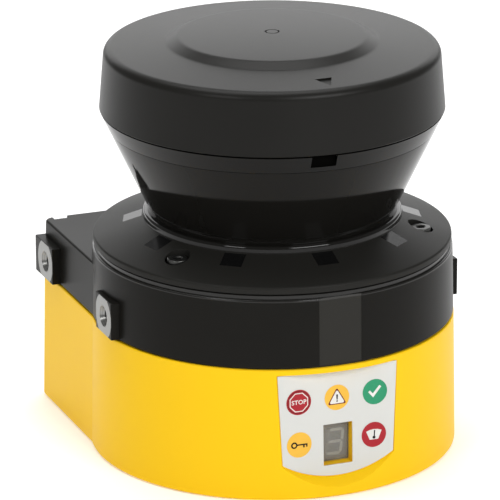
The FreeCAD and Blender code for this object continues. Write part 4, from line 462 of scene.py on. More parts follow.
class Signal:
    """A number that varies over a surface, with Python's operators."""

    def __init__(self, tree: "Sheet", socket: NodeSocket) -> None:
        """Wrap a socket of a node tree."""
        self.tree = tree
        self.socket = socket

    def _maths(self, operation: str, other: Value = 0.0) -> "Signal":
        """One Math node on this number and another."""
        node = self.tree.add("ShaderNodeMath", {0: self, 1: other}, operation=operation)
        return Signal(self.tree, node.outputs[0])

    __add__ = partialmethod(_maths, "ADD")
    __sub__ = partialmethod(_maths, "SUBTRACT")
    __mul__ = partialmethod(_maths, "MULTIPLY")
    __truediv__ = partialmethod(_maths, "DIVIDE")
    __abs__ = partialmethod(_maths, "ABSOLUTE")
    __gt__ = partialmethod(_maths, "GREATER_THAN")
    __lt__ = partialmethod(_maths, "LESS_THAN")
    sine = partialmethod(_maths, "SINE")
    wrap = partialmethod(_maths, "FLOORED_MODULO")
    root = partialmethod(_maths, "SQRT")

    def blend(self, first: Union[Colour, NodeSocket],
              second: Union[Colour, NodeSocket]) -> NodeSocket:
        """A colour between two, by this number.

        Args:
            first: the colour at 0, or a link to it.
            second: the colour at 1, or a link to it.

        Returns:
            The link to the mixed colour.
        """
        sides = [side if isinstance(side, NodeSocket) else tuple(side) + (1.0,)
                 for side in (first, second)]
        node = self.tree.add("ShaderNodeMix", {0: self, 6: sides[0], 7: sides[1]},
                             data_type="RGBA")
        return node.outputs[2]


class Sheet:
    """One material's node tree."""

    def __init__(self, name: str) -> None:
        """Start a material with a principled shader and the object coordinates.

        Args:
            name: the material's name.
        """
        self.material = bpy.data.materials.new(name)
        self.material.use_nodes = True
        self.tree = self.material.node_tree
        self.shader = self.tree.nodes["Principled BSDF"]
        self.spot = self.add("ShaderNodeTexCoord", {}).outputs["Object"]

    def add(self, kind: str, inputs: Dict[Union[int, str], object],
            **settings: object) -> Node:
        """Add a node.

        Args:
            kind: the node's type.
            inputs: values or links for its sockets.
            settings: its attributes, set first.

        Returns:
            The added node.
        """
        node = self.tree.nodes.new(kind)
        for key, value in settings.items():
            setattr(node, key, value)
        for key, value in inputs.items():
            self.feed(node.inputs[key], value)
        return node

    def feed(self, socket: NodeSocket, value: object) -> None:
        """Set a socket or link it.

        Args:
            socket: the socket to feed.
            value: a number, a colour, a signal or another socket.
        """
        if isinstance(value, Signal):
            value = value.socket
        if isinstance(value, NodeSocket):
            self.tree.links.new(value, socket)
        else:
            socket.default_value = value

    def place(self) -> Tuple[Signal, Signal, Signal]:
        """The object coordinates x, y and z in millimetres."""
        parts = self.add("ShaderNodeSeparateXYZ", {0: self.spot})
        return tuple(Signal(self, output) / MM for output in parts.outputs)

    def noise(self, scale: float, detail: float = 2.0) -> Signal:
        """Noise of a scale per metre."""
        inputs = {"Vector": self.spot, "Scale": scale, "Detail": detail}
        return Signal(self, self.add("ShaderNodeTexNoise", inputs).outputs[0])

    def bump(self, height: Value, depth: float) -> None:
        """Feed a height in millimetres to the shader's normal."""
        inputs = {"Height": height, "Distance": depth * MM, "Strength": 1.0}
        self.set(Normal=self.add("ShaderNodeBump", inputs).outputs[0])

    def set(self, **values: object) -> None:
        """Set shader sockets, named with underscores for spaces."""
        for name, value in values.items():
            self.feed(self.shader.inputs[name.replace("_", " ")], value)


@dataclass(frozen=True)
class PaintedYellow:
    """Smooth yellow moulding with a faint orange-peel skin."""

    colour: Colour = (0.95, 0.588, 0.007)
    shade: Colour = (0.94, 0.572, 0.006)
    roughness: float = 0.36

    def build(self) -> Material:
        """Make the material.

        Returns:
            The finished material.
        """
        sheet = Sheet("painted_yellow")
        cloud = sheet.noise(30.0, 3.0)
        sheet.set(Base_Color=cloud.blend(self.colour, self.shade),
                  Roughness=cloud * 0.08 + self.roughness, IOR=1.20)
        sheet.bump(sheet.noise(1400.0), 0.006)
        return sheet.material


@dataclass(frozen=True)
class SatinBlack:
    """Satin black paint on the casting, with bare milled faces on the bosses and a lighter front
    strip that paints the light its flat face catches.
    """

    colour: Colour = (0.0085, 0.0080, 0.0068)
    metal: Colour = (0.26, 0.26, 0.25)
    # Painted light: the flat front strip is given a lighter black for the even light it catches.
    lit_strip_colour: Colour = (0.028, 0.027, 0.024)
    strip_half: float = 6.1
    strip_front: float = -45.0
    strip_top: float = 56.3
    roughness: float = 0.30
    milled_from: float = 50.93
    spot_face: float = 6.1
    mouth: float = 3.5
    mouth_from: float = 43.0
    axis_height: float = 42.6
    front_axis: float = -4.5
    rear_axis: float = 44.0
    between: float = 15.0
    rear_thread: float = 43.6
    notch_half: float = 2.1
    notch_front: float = 50.5
    notch_low: float = 50.0
    notch_high: float = 50.6
    bore_half: float = 2.2
    bore_front: float = 46.0
    ring_pitch: float = 16.0
    edge_height: float = 55.75
    coat: float = 0.6

    def build(self) -> Material:
        """Make the material.

        Returns:
            The finished material.
        """
        sheet = Sheet("satin_black")
        x, y, z = sheet.place()
        cloud = sheet.noise(40.0, 3.0)
        rise = z - self.axis_height
        front, rear = [((y - axis) * (y - axis) + rise * rise).root()
                       for axis in (self.front_axis, self.rear_axis)]
        near = (y < self.between) * front + (y > self.between) * rear
        milled = (abs(x) > self.milled_from) * (near < self.spot_face)
        hole = (abs(x) > self.mouth_from) * (near < self.mouth)
        aside = abs(abs(x) - self.rear_thread)
        notch = ((aside < self.notch_half) * (y > self.notch_front) * (z < self.notch_high)
                 * (z > self.notch_low))
        bore = (aside < self.bore_half) * (abs(rise) < self.bore_half) * (y > self.bore_front)
        bare = (milled + hole + notch + bore) > 0.5
        rings = (near * self.ring_pitch).sine() * 0.5 + 0.5
        # Painted light: inside the front strip the paint turns a lighter black.
        strip = (abs(x) < self.strip_half) * (y < self.strip_front) * (z < self.strip_top)
        paint = strip.blend(cloud.blend(self.colour, shade(self.colour, 1.25)),
                            self.lit_strip_colour)
        silver = rings.blend(self.metal, shade(self.metal, 0.8))
        sheet.set(Base_Color=bare.blend(paint, silver), Metallic=bare,
                  Roughness=cloud * 0.06 + self.roughness - bare * 0.04,
                  Coat_Weight=(z > self.edge_height) * self.coat, Coat_Roughness=0.12, IOR=1.16)
        sheet.bump(sheet.noise(2600.0), 0.004)
        return sheet.material


@dataclass(frozen=True)
class DarkCover:
    """Near-black plastic that only infrared light passes: glossy cone, matte flange."""

    colour: Colour = (0.0070, 0.0066, 0.0057)
    flange: Colour = (0.0165, 0.0160, 0.0142)
    bead_height: float = 64.7
    neck_top: float = 68.4
    coat: float = 0.3

    def build(self) -> Material:
        """Make the material.

        Returns:
            The finished material.
        """
        sheet = Sheet("dark_cover")
        z = sheet.place()[2]
        rough = z < self.bead_height
        cloud = sheet.noise(50.0, 3.0)
        sheet.set(Base_Color=rough.blend(self.colour, self.flange),
                  Roughness=rough * (cloud * 0.08 + 0.32) + cloud * 0.02 + 0.06,
                  Coat_Weight=(z > self.bead_height) * (z < self.neck_top) * self.coat,
                  Coat_Roughness=0.05, IOR=1.195)
        sheet.bump(sheet.noise(5200.0) * rough, 0.018)
        return sheet.material


@dataclass(frozen=True)
class GrainedCap:
    """Fine-grained matte black moulding with a glossy bevel below, the bevel's colour painted far
    darker as shade.
    """

    colour: Colour = (0.0120, 0.0115, 0.0100)
    # Painted shade: the lower bevel's colour is ten times darker than the cap's own black.
    shaded_bevel_colour: Colour = (0.0012, 0.0011, 0.0009)
    roughness: float = 0.18
    bevel_roughness: float = 0.14
    bevel_top: float = 95.1

    def build(self) -> Material:
        """Make the material.

        Returns:
            The finished material.
        """
        sheet = Sheet("grained_cap")
        grain = sheet.noise(3800.0, 3.0)
        cloud = sheet.noise(35.0, 3.0)
        grained = sheet.place()[2] > self.bevel_top
        # The bevel below the grain gets the darker colour: painted shade on the down-facing band.
        tone = cloud * 0.4 + grained * 0.6
        gloss = grained * (grain * 0.10 + self.roughness) + self.bevel_roughness
        sheet.set(Base_Color=tone.blend(self.shaded_bevel_colour, self.colour), Roughness=gloss,
                  IOR=1.25)
        sheet.bump(grain * grained, 0.02)
        return sheet.material


@dataclass(frozen=True)
class Plain:
    """A finish with a little variation in tone, gloss and relief."""

    name: str
    colour: Colour
    roughness: float = 0.4
    metallic: float = 0.0
    relief: float = 0.004
    alpha: float = 1.0
    ior: float = 1.5

    def build(self) -> Material:
        """Make the material.

        Returns:
            The finished material.
        """
        sheet = Sheet(self.name)
        fine = sheet.noise(1500.0)
        sheet.set(Base_Color=sheet.noise(120.0, 3.0).blend(self.colour, shade(self.colour, 0.88)),
                  Roughness=fine * 0.1 + self.roughness - 0.05, Metallic=self.metallic,
                  IOR=self.ior, Alpha=self.alpha)
        sheet.bump(fine, self.relief)
        return sheet.material


@dataclass(frozen=True)
class TurnedMetal:
    """Metal with fine turning lines along an axis."""

    name: str
    colour: Colour
    roughness: float = 0.28
    pitch: float = 30.0

    def build(self) -> Material:
        """Make the material.

        Returns:
            The finished material.
        """
        sheet = Sheet(self.name)
        y, z = sheet.place()[1:]
        lines = (z * self.pitch + y * (self.pitch * 0.7)).sine() * 0.5 + 0.5
        cloud = sheet.noise(300.0, 3.0)
        sheet.set(Base_Color=cloud.blend(self.colour, shade(self.colour, 0.82)),
                  Roughness=lines * 0.06 + cloud * 0.08 + self.roughness - 0.07, Metallic=1.0)
        sheet.bump(lines, 0.002)
        return sheet.material


@dataclass(frozen=True)
class CircuitBoard:
    """Green solder mask with tracks."""

    mask: Colour = (0.015, 0.10, 0.035)
    track: Colour = (0.03, 0.16, 0.06)
    pitch: float = 2.4
    width: float = 0.5

    def build(self) -> Material:
        """Make the material.

        Returns:
            The finished material.
        """
        sheet = Sheet("circuit_board")
        x, y = sheet.place()[:2]
        lanes = (x + y * 0.15).wrap(self.pitch) < self.width
        sheet.set(Base_Color=lanes.blend(self.mask, self.track),
                  Roughness=sheet.noise(90.0) * 0.1 + 0.3)
        sheet.bump(lanes, 0.02)
        return sheet.material


@dataclass(frozen=True)
class PrintedFoil:
    """The display label: light grey foil."""

    colour: Colour = (0.66, 0.665, 0.64)

    def build(self) -> Material:
        """Make the material.

        Returns:
            The finished material.
        """
        sheet = Sheet("printed_foil")
        fine = sheet.noise(4200.0)
        sheet.set(Base_Color=sheet.noise(60.0).blend(self.colour, shade(self.colour, 0.96)),
                  Roughness=fine * 0.08 + 0.42)
        sheet.bump(fine, 0.003)
        return sheet.material


class Finishes:
    """All finishes, each built once."""

    def __init__(self) -> None:
        """Build the materials."""
        self.yellow = PaintedYellow().build()
        self.black = SatinBlack().build()
        self.cover = DarkCover().build()
        self.cap = GrainedCap().build()
        self.foil = PrintedFoil().build()
        self.board = CircuitBoard().build()
        self.seal = Plain("seal_rubber", (0.012, 0.012, 0.012), 0.6).build()
        # Painted shade: a near-black, hardly reflecting finish for the sheet that lines the cap's
        # notch.
        self.notch_shade = Plain("painted_shade_pit", (0.0016, 0.0015, 0.0013), 0.8, ior=1.08).build()
        self.mark = Plain("arrow_mark", (0.009, 0.009, 0.008), 0.5, ior=1.2).build()
        self.gloss = Plain("gloss_window", (0.006, 0.006, 0.006), 0.12, relief=0.0,
                           ior=1.3).build()
        self.steel = TurnedMetal("plain_steel", (0.55, 0.55, 0.54)).build()
        self.dark_steel = TurnedMetal("dark_steel", (0.10, 0.10, 0.096), 0.42).build()
        self.aluminium = TurnedMetal("cast_aluminium", (0.6, 0.6, 0.61), 0.4).build()
        self.nickel = TurnedMetal("nickel_plate", (0.62, 0.6, 0.55), 0.22).build()
        self.copper = TurnedMetal("enamelled_wire", (0.72, 0.3, 0.12), 0.3, 60.0).build()
        self.plastic = Plain("black_plastic", (0.02, 0.02, 0.02)).build()
        self.digit_grey = Plain("digit_grey", (0.19, 0.19, 0.18), 0.35).build()
        self.digit_dim = Plain("digit_dim", (0.25, 0.25, 0.235)).build()
        self.digit_light = Plain("digit_light", (0.42, 0.42, 0.39)).build()
        self.glass = Plain("clear_glass", (0.75, 0.8, 0.82), 0.05, relief=0.0,
                           alpha=0.35).build()
        self.tint = Plain("tinted_glass", (0.35, 0.35, 0.32), 0.05, relief=0.0,
                          alpha=0.22).build()
        self.mirror = Plain("mirror_face", (0.92, 0.92, 0.93), 0.06, 1.0, relief=0.0).build()
        self.lamp = Plain("lamp_body", (0.85, 0.82, 0.6), 0.3).build()
        self.ribbon = Plain("ribbon_grey", (0.35, 0.35, 0.34), 0.5).build()
        self.red = Plain("sign_red", (0.42, 0.024, 0.034), ior=1.25).build()
        self.amber = Plain("sign_amber", (0.90, 0.50, 0.035)).build()
        self.green = Plain("sign_green", (0.035, 0.31, 0.155), ior=1.25).build()
        self.white = Plain("sign_white", (0.80, 0.79, 0.76)).build()
        self.ink = Plain("sign_ink", (0.012, 0.008, 0.007), ior=1.25).build()
        self.maroon = Plain("sign_maroon", (0.16, 0.012, 0.015), ior=1.25).build()
        self.clear = Plain("guide_clear", (0.70, 0.74, 0.72), 0.12, relief=0.0).build()

    def by_slot(self) -> Dict[str, Material]:
        """Name the finish of each of the record's slots.

        Returns:
            The finishes by slot.
        """
        return {
            "yellow_body": self.yellow, "black_body": self.black, "dark_cover": self.cover,
            "cap_black": self.cap, "seal": self.seal, "steel": self.steel,
            "brass_part": self.nickel, "label": self.foil, "window": self.tint,
            "digit": self.digit_grey, "board": self.board, "led": self.lamp,
            "light_guide": self.white, "insert": self.plastic, "frame": self.aluminium,
            "lens": self.glass, "laser": self.nickel, "ribbon": self.ribbon,
            "cup": self.aluminium, "core": self.dark_steel, "copper": self.copper,
            "magnet": self.dark_steel, "disc": self.steel, "carrier": self.plastic,
            "mirror": self.mirror, "sensor": self.plastic, "dark_steel": self.dark_steel,
        }


# ---- sub-assemblies ----------------------------------------------------------------------


@dataclass
class HeadCap:
    """The wide cap over the optics, with a shallow dome on top."""

    finishes: Finishes
    rim: float = 43.1
    lip: float = 44.55
    groove: float = 0.55
    groove_low: float = 94.85
    groove_high: float = 95.2
    notch_turn: float = -4.3
    notch_half: float = 3.5
    notch_low: float = 91.5
    notch_floor: float = 44.3
    play: float = 0.04
    belly: float = 47.0
    shoulder: float = 45.6
    round_top: float = 2.3
    bottom: float = 90.0
    seam: float = 0.1
    bevel: float = 5.2
    ring: float = 112.4
    step_foot: float = 28.7
    foot_height: float = 113.62
    disc: float = 25.5
    disc_height: float = 115.25
    top: float = 116.0
    wall: float = 2.3
    spigot: float = 41.5
    spigot_wall: float = 1.8
    spigot_depth: float = 1.4
    gate_inner: float = 1.6
    gate_outer: float = 2.0

    def profile(self) -> List[Row]:
        """Draw the cap's section, outside first.

        Returns:
            Pairs of radius and height.
        """
        low, start = self.bottom + self.seam, self.ring - self.round_top
        deep = self.belly - self.groove - 0.4
        rows: List[Row] = [
            (self.spigot, self.bottom - self.spigot_depth), (self.spigot, self.bottom),
            (self.rim, self.bottom), (self.rim, low), (self.lip, low),
            (self.belly - 0.28, self.groove_low - 0.1), (self.belly - 0.38, self.groove_low),
            (deep, self.groove_low), (deep, self.groove_high),
            (self.belly - 0.16, self.groove_high), (self.belly, self.groove_high + 0.2)]
        lean = (self.belly - self.shoulder) / (self.ring - low - self.bevel)
        for step in range(9):
            turn = math.radians(90 * step / 8)
            radius = self.shoulder + lean * self.round_top * (1 - step / 8)
            rows.append((radius - self.round_top * (1 - math.cos(turn)),
                         start + self.round_top * math.sin(turn)))
        foot, height, disc, level = self.step_foot, self.foot_height, self.disc, self.disc_height
        fall = (height - self.ring) / (self.shoulder - self.round_top - foot)
        rows += [(foot + 1.0, height - fall), (foot + 0.3, height - 0.1 * fall),
                 (foot - 0.2, height + 0.16), (disc + 0.6, level - 0.30),
                 (disc + 0.1, level - 0.09), (disc - 0.6, level)]
        rise = (self.top - level) / (disc - 0.6) ** 2
        rows += [(radius, self.top - rise * radius ** 2) for radius in (20.0, 15.0, 10.0, 6.0)]
        return rows + [(3.2, self.top - 0.005), (2.6, self.top), (0, self.top)]

    def build(self) -> None:
        """Turn the cap, cut its marks and give it the grained finish."""
        foot, roof = self.bottom - self.spigot_depth, self.top - self.wall
        inner, middle = self.spigot - self.spigot_wall, self.disc - 1.2
        low, ring = self.bottom + self.seam, self.ring - self.wall
        cap = Bench.turn("cap_shell", [(inner, foot), (inner, low),
                                       (self.belly - self.wall, low + self.bevel),
                                       (self.shoulder - self.wall, ring),
                                       (self.step_foot - 1.2, ring), (middle, roof)],
                         capped=False)
        for side, edge, rows in ((1, roof, [(middle, roof), (0, roof)]),
                                 (-1, foot, [(inner, foot)] + self.profile())):
            Bench.pick(cap, lambda spot: (spot.z - edge) * side > -0.01)
            Bench.edit()
            Bench.rise(rows)
            Bench.leave()
        Bench.clean(cap)
        gate = Bench.turn("gate_tool", [(self.gate_outer, self.top - 0.3),
                                        (self.gate_outer, self.top + 1),
                                        (self.gate_inner, self.top + 1),
                                        (self.gate_inner, self.top - 0.3)], 48, closed=True)
        Bench.combine(cap, Join.CUT, self.arrow("arrow_tool", 41.8, 36.4, 2.4, 0.1, 2), gate)
        self.notch(cap)
        Bench.settle(cap, self.finishes.cap, "cap_black", nodes=["head_cap"], smooth=32)
        inlay = self.arrow("front_mark", 41.7, 36.45, 2.32, 0.12, 0.2)
        Bench.soften(inlay, 0.05)
        Bench.settle(inlay, self.finishes.mark, "cap_black", smooth=0)

    def arrow(self, name: str, tip: float, base: float, half: float, depth: float,
              tall: float) -> Object:
        """The arrow head at the cap's front.

        Args:
            name: the piece's name.
            tip: distance of its tip from the axis.
            base: distance of its base.
            half: half the width of its base.
            depth: how far below the cap's shoulder it starts.
            tall: its thickness.

        Returns:
            The arrow head.
        """
        level = self.ring - depth
        return Bench.plate(name, [(0.0, -tip, level), (half, -base, level),
                                  (-half, -base, level)], (0, 0, tall))

    def notch(self, cap: Object) -> None:
        """Cut the moulded notch into the lower bevel and line its floor with a near-black sheet
        of painted shade.

        Args:
            cap: the cap's shell.
        """
        half, low, floor = self.notch_half, self.notch_low, self.notch_floor
        tool = Bench.brick("notch", (-half, -48, low), (half, -floor, self.groove_low + 0.1))
        narrow = half - self.play
        # Painted shade: a near-black sheet on the notch's floor stands for the shade in the
        # recess.
        shade_pad = Bench.brick("notch_shade_pad", (-narrow, -floor - 0.06, low + self.play),
                          (narrow, 0.1 - floor, self.groove_low - 0.05))
        Bench.swing(tool, self.notch_turn)
        Bench.swing(shade_pad, self.notch_turn)
        Bench.combine(cap, Join.CUT, tool)
        Bench.soften(shade_pad, 0.05)
        Bench.settle(shade_pad, self.finishes.notch_shade, "cap_black", smooth=0)


@dataclass
class OpticsCover:
    """The dark cover with flange, bead and cone."""

    finishes: Finishes
    rim: float = 49.1
    foot: float = 58.0
    edge: float = 59.7
    bead: float = 35.4
    bead_low: float = 64.6
    bead_top: float = 65.6
    neck: float = 34.0
    neck_low: float = 66.7
    cone_foot: float = 34.4
    cone_low: float = 68.4
    cone_rim: float = 43.5
    cone_top: float = 87.8
    band: float = 44.45
    band_inner: float = 41.7
    top: float = 90.0
    bore: float = 32.2
    spigot_out: float = 45.0
    spigot_in: float = 42.8
    seat: float = 56.0
    screw_circle: float = 40.8
    recess: float = 3.45
    recess_floor: float = 59.3
    screw_boss: float = 4.15
    screw_hole: float = 1.7
    window_half: float = 3.0
    window_near: float = 35.7
    window_far: float = 40.9
    shell: float = 2.42

    def line(self, radius: float, lower: float = 0.0) -> float:
        """Height of the flange's conical top at a radius."""
        slope = (self.bead_low - self.edge) / (self.rim - self.bead)
        return self.edge + (self.rim - radius) * slope - lower

    def build(self) -> None:
        """Turn the cover, cut recesses and windows, and finish it."""
        rim, edge, bead = self.rim, self.edge, self.bead
        rows: List[Row] = [
            (self.spigot_in, self.seat), (self.spigot_out, self.seat),
            (self.spigot_out, self.foot), (rim, self.foot), (rim, edge - 0.55),
            (rim - 0.06, edge - 0.25), (rim - 0.22, edge - 0.02),
            (rim - 0.5, self.line(rim - 0.5)), (bead + 0.4, self.line(bead + 0.4)),
            (bead + 0.1, self.bead_low + 0.02), (bead, self.bead_low + 0.3)]
        for step in range(7):
            turn = math.radians(90 * step / 6)
            rows.append((bead - 1.05 + 1.05 * math.cos(turn),
                         self.bead_top + 1.1 * math.sin(turn)))
        rows += [(self.neck, self.neck_low), (self.neck + 0.04, self.neck_low + 0.6),
                 (self.cone_foot, self.cone_low), (self.cone_rim, self.cone_top),
                 (self.band, self.top - 0.05), (self.band - 0.06, self.top),
                 (self.band_inner, self.top), (self.band_inner, self.cone_top + 0.2),
                 (self.bore, self.cone_low), (self.bore, self.line(self.bore, self.shell)),
                 (self.spigot_in, self.line(self.spigot_in, self.shell))]
        cover = Bench.turn("cover_shell", rows, closed=True)
        for turn in COVER_TURNS:
            x, y = spot_at(self.screw_circle, turn)
            boss = Bench.drum("boss", (x, y, self.seat), self.screw_boss, 4.9)
            well = Bench.drum("well", (x, y, self.recess_floor), self.recess, 8)
            hole = Bench.drum("hole", (x, y, self.seat - 1), self.screw_hole, 4.5, count=32)
            Bench.combine(cover, Join.ADD, boss)
            Bench.combine(cover, Join.CUT, well, hole)
        for turn in WINDOW_TURNS:
            Bench.combine(cover, Join.CUT, self.window_tool(turn, 0.28, 2.0))
        Bench.settle(cover, self.finishes.cover, "dark_cover", nodes=["optics_cover"], smooth=28)
        panes = [self.window_tool(turn, 0.27, -0.05, 0.02) for turn in WINDOW_TURNS]
        pane = Bench.gather(panes, "sensor_windows")
        Bench.settle(pane, self.finishes.gloss, "dark_cover", smooth=0)

    def window_tool(self, turn: float, depth: float, rise: float,
                    narrow: float = 0.0) -> Object:
        """A slab that follows the flange's slope, turned to a window's place.

        Args:
            turn: degrees from the front.
            depth: how far below the flange's face it starts.
            rise: how far above that face it ends.
            narrow: how much smaller it is on each side.

        Returns:
            The slab.
        """
        half = self.window_half - narrow
        near, far = self.window_near + narrow, self.window_far - narrow
        corners = ((-half, far), (half, far), (half, near), (-half, near))
        slab = Bench.plate("window", [(x, -reach, self.line(reach, depth))
                                      for x, reach in corners], (0, 0, depth + rise))
        Bench.swing(slab, turn)
        return slab


@dataclass
class HousingForm:
    """The plan that both housings share: round or flat front, flat sides, flat rear."""

    radius: float = 50.6
    flat: float = 49.4
    rear: float = 54.0
    corner: float = 2.5
    front: Optional[float] = None
    segments: int = 224
    screws: Tuple[Place, ...] = ((33.5, -28), (-33.5, -28), (32.5, 46.5), (-32.5, 46.5))

    def ring(self, name: str, height: float, inset: float) -> Object:
        """The outline at a height, drawn in by an inset.

        Args:
            name: the piece's name.
            height: its height in millimetres.
            inset: how far it is drawn in.

        Returns:
            A wire ring.
        """
        radius, flat = self.radius - inset, self.flat - inset
        back, bend, front = self.rear - inset, self.corner, self.front
        side = math.sqrt(radius ** 2 - flat ** 2)
        piece = Bench.circle(name, self.segments, radius, height)
        limit = -front if front is not None else -2 * radius
        Bench.pick(piece, lambda spot: spot.y > side - 0.3 or spot.y < limit + 0.3)
        Bench.edit()
        bpy.ops.mesh.delete(type="VERT")
        Bench.leave()
        ends = [vertex.co / MM for vertex in piece.data.vertices if vertex.co.x > 0]
        start = max(ends, key=lambda spot: spot.y)
        Bench.pick(piece, lambda spot: (spot - start).length < 0.01)
        path: List[Place] = [(flat, side)]
        path += round_corner((flat - bend, back - bend), bend, 0, 90)
        path += round_corner((-(flat - bend), back - bend), bend, 90, 180)
        path += [(-flat, side), (-start.x, start.y)]
        Bench.edit()
        Bench.trace(tuple(start), [(x, y, height) for x, y in path])
        Bench.weld()
        if front is not None:
            Bench.leave()
            lowest = min(vertex.co.y for vertex in piece.data.vertices) / MM
            end = [vertex.co / MM for vertex in piece.data.vertices
                   if vertex.co.y / MM < lowest + 0.01 and vertex.co.x > 0][0]
            half = math.sqrt(radius ** 2 - front ** 2)
            Bench.pick(piece, lambda spot: (spot - end).length < 0.01)
            Bench.edit()
            Bench.trace(tuple(end), [(half, -front, height), (-half, -front, height),
                                     (-end.x, end.y, height)])
            Bench.weld()
        Bench.leave()
        return piece

    def block(self, name: str, rows: Sequence[Row], inset: float = 0.0) -> Object:
        """A closed block with the housing's plan.

        Args:
            name: the piece's name.
            rows: pairs of extra inset and height.
            inset: inset of the whole block.

        Returns:
            The block.
        """
        piece = self.ring(name, rows[0][1], inset + rows[0][0])
        Bench.edit()
        bpy.ops.mesh.select_all(action="SELECT")
        start = self.radius - inset
        Bench.rise([(start - extra, height) for extra, height in rows])
        Bench.leave()
        for level in (rows[0][1], rows[-1][1]):
            Bench.face(piece, lambda spot: abs(spot.z - level) < 0.001)
        Bench.clean(piece)
        return piece


def rounding(inset: float, height: float, radius: float, upwards: bool,
             steps: int = 4) -> List[Row]:
    """Rows of a rounded edge at the top or bottom of a block.

    Args:
        inset: the wall's inset at the edge.
        height: the height of the flat face.
        radius: the rounding.
        upwards: whether the face is the top one.
        steps: pieces of the arc.

    Returns:
        Pairs of inset and height in the order of rising height.
    """
    rows = []
    for step in range(steps + 1):
        turn = math.radians(90 * step / steps)
        if upwards:
            rows.append((inset + radius * (1 - math.cos(turn)),
                         height - radius + radius * math.sin(turn)))
        else:
            rows.append((inset + radius * (1 - math.sin(turn)),
                         height + radius * (1 - math.cos(turn))))
    return rows


@dataclass
class LowerHousing:
    """The yellow tub with panel recess, windows, bay and screw recesses."""

    finishes: Finishes
    form: HousingForm = field(default_factory=HousingForm)
    height: float = 36.9
    base_round: float = 0.7
    wall: float = 2.6
    floor: float = 3.0
    shelf: float = 30.0
    hollow_front: float = 44.6
    hollow_rear: float = 38.9
    hollow_bend: float = 0.6
    tilt: float = 2.0
    panel_floor: float = 47.9
    panel_top: float = 35.4
    panel_half: float = 17.4
    panel_low: float = 9.6
    panel_low_half: float = 16.2
    panel_bottom: float = 4.9
    scoop_drop: float = 3.3
    scoop_spread: float = 2.6
    scoop_reach: float = 4.0
    window: Tuple[Point, Point] = ((-4.2, -49, 8.2), (4.2, -43, 19.8))
    bay: Tuple[Point, Point] = ((-26, 41.5, 4), (26, 60, 27))
    bay_round: float = 2.0
    sockets: Tuple[Row, ...] = ((-15.5, 6.2), (16.5, 4.2))
    post: float = 4.6
    well: float = 3.8
    bore: float = 2.2
    board_post: float = 3.4
    board_bore: float = 1.3
    guide: float = 1.8
    guides: Tuple[Place, ...] = ((-11.2, 27.4), (0, 27.4), (11.2, 27.4), (-11.2, 15.8),
                                 (11.2, 15.8))
    board_posts: Tuple[Place, ...] = ((24, -30), (-24, -30), (24, 29), (-24, 29))

    def panel_outline(self, drop: float = 0.0, spread: float = 0.0,
                      reach: float = 0.0) -> List[Point]:
        """The bowed outline of the panel, on its leaning plane or in front of it.

        Args:
            drop: how far the bowed edge is lowered.
            spread: how far the lower corners move out.
            reach: distance in front of the plane.

        Returns:
            The corners in order.
        """
        low, bottom = self.panel_low - drop / 4, self.panel_bottom - drop
        half, rise = self.panel_low_half + spread, low - bottom
        radius = (half ** 2 + rise ** 2) / (2 * rise)
        turn = math.degrees(math.asin(half / radius))
        bow = round_corner((0.0, bottom + radius), radius, -90 - turn, -90 + turn, 24)
        flat = bow + [(self.panel_half, self.panel_top), (-self.panel_half, self.panel_top)]
        lean = math.radians(self.tilt)
        back, lift = self.panel_floor + reach * math.cos(lean), reach * math.sin(lean)
        return [(x, y * math.sin(lean) - back, y * math.cos(lean) + lift) for x, y in flat]

    def scoop(self) -> Object:
        """Build the solid that is cut away in front of the panel.

        Returns:
            The tool.
        """
        ends = [self.panel_outline(),
                self.panel_outline(self.scoop_drop, self.scoop_spread, self.scoop_reach)]
        tool = Bench.gather([Bench.plate("scoop", end, (0, 0, 0)) for end in ends], "scoop")
        Bench.edit()
        bpy.ops.mesh.select_all(action="SELECT")
        bpy.ops.mesh.delete(type="ONLY_FACE")
        bpy.ops.mesh.select_all(action="SELECT")
        bpy.ops.mesh.bridge_edge_loops()
        Bench.leave()
        for end in ends:
            spots = [Vector(spot) for spot in end]
            Bench.face(tool, lambda spot: any((spot - other).length < 0.01 for other in spots))
        Bench.clean(tool)
        return tool

    def build(self) -> None:
        """Build the tub from the shared form and cut everything into it."""
        loss = self.height * DRAFT
        inset = loss + self.wall
        rows = rounding(0.0, 0.0, self.base_round, False)
        rows += [(loss - 0.12, self.height - 0.3), (loss + 0.12, self.height)]
        tub = self.form.block("lower_shell", rows)
        form = replace(self.form, front=self.hollow_front, corner=self.hollow_bend)
        upper = form.block("upper_hollow", [(0, self.shelf), (0, 40.0)], inset)
        form = replace(form, rear=self.hollow_rear + inset)
        lower = form.block("lower_hollow", [(0, self.floor), (0, self.shelf + 0.5)], inset)
        bay = Bench.brick("bay", *self.bay)
        Bench.soften(bay, self.bay_round, segments=5)
        window = Bench.brick("window", *self.window)
        Bench.soften(window, 0.3)
        sockets = [Bench.drum("socket", (x, 38, 15), radius, 5, Axis.Y)
                   for x, radius in self.sockets]
        Bench.combine(tub, Join.CUT, upper, lower, bay, *sockets, self.scoop(), window)
        for x, z in self.guides:
            Bench.combine(tub, Join.CUT,
                          Bench.drum("guide", (x, -49, z), self.guide, 6, Axis.Y, 32))
        for x, y in self.form.screws:
            Bench.combine(tub, Join.ADD, Bench.drum("post", (x, y, 1.5), self.post, 35.4))
            Bench.combine(tub, Join.CUT, Bench.drum("well", (x, y, -1), self.well, 5.2),
                          Bench.drum("bore", (x, y, 3), self.bore, 40, count=32))
        for x, y in self.board_posts:
            Bench.combine(tub, Join.ADD, Bench.drum("post", (x, y, 1.5), self.board_post, 6.5))
            Bench.combine(tub, Join.CUT,
                          Bench.drum("bore", (x, y, 3), self.board_bore, 6, count=24))
        Bench.settle(tub, self.finishes.yellow, "yellow_body", nodes=["lower_housing"], smooth=26)


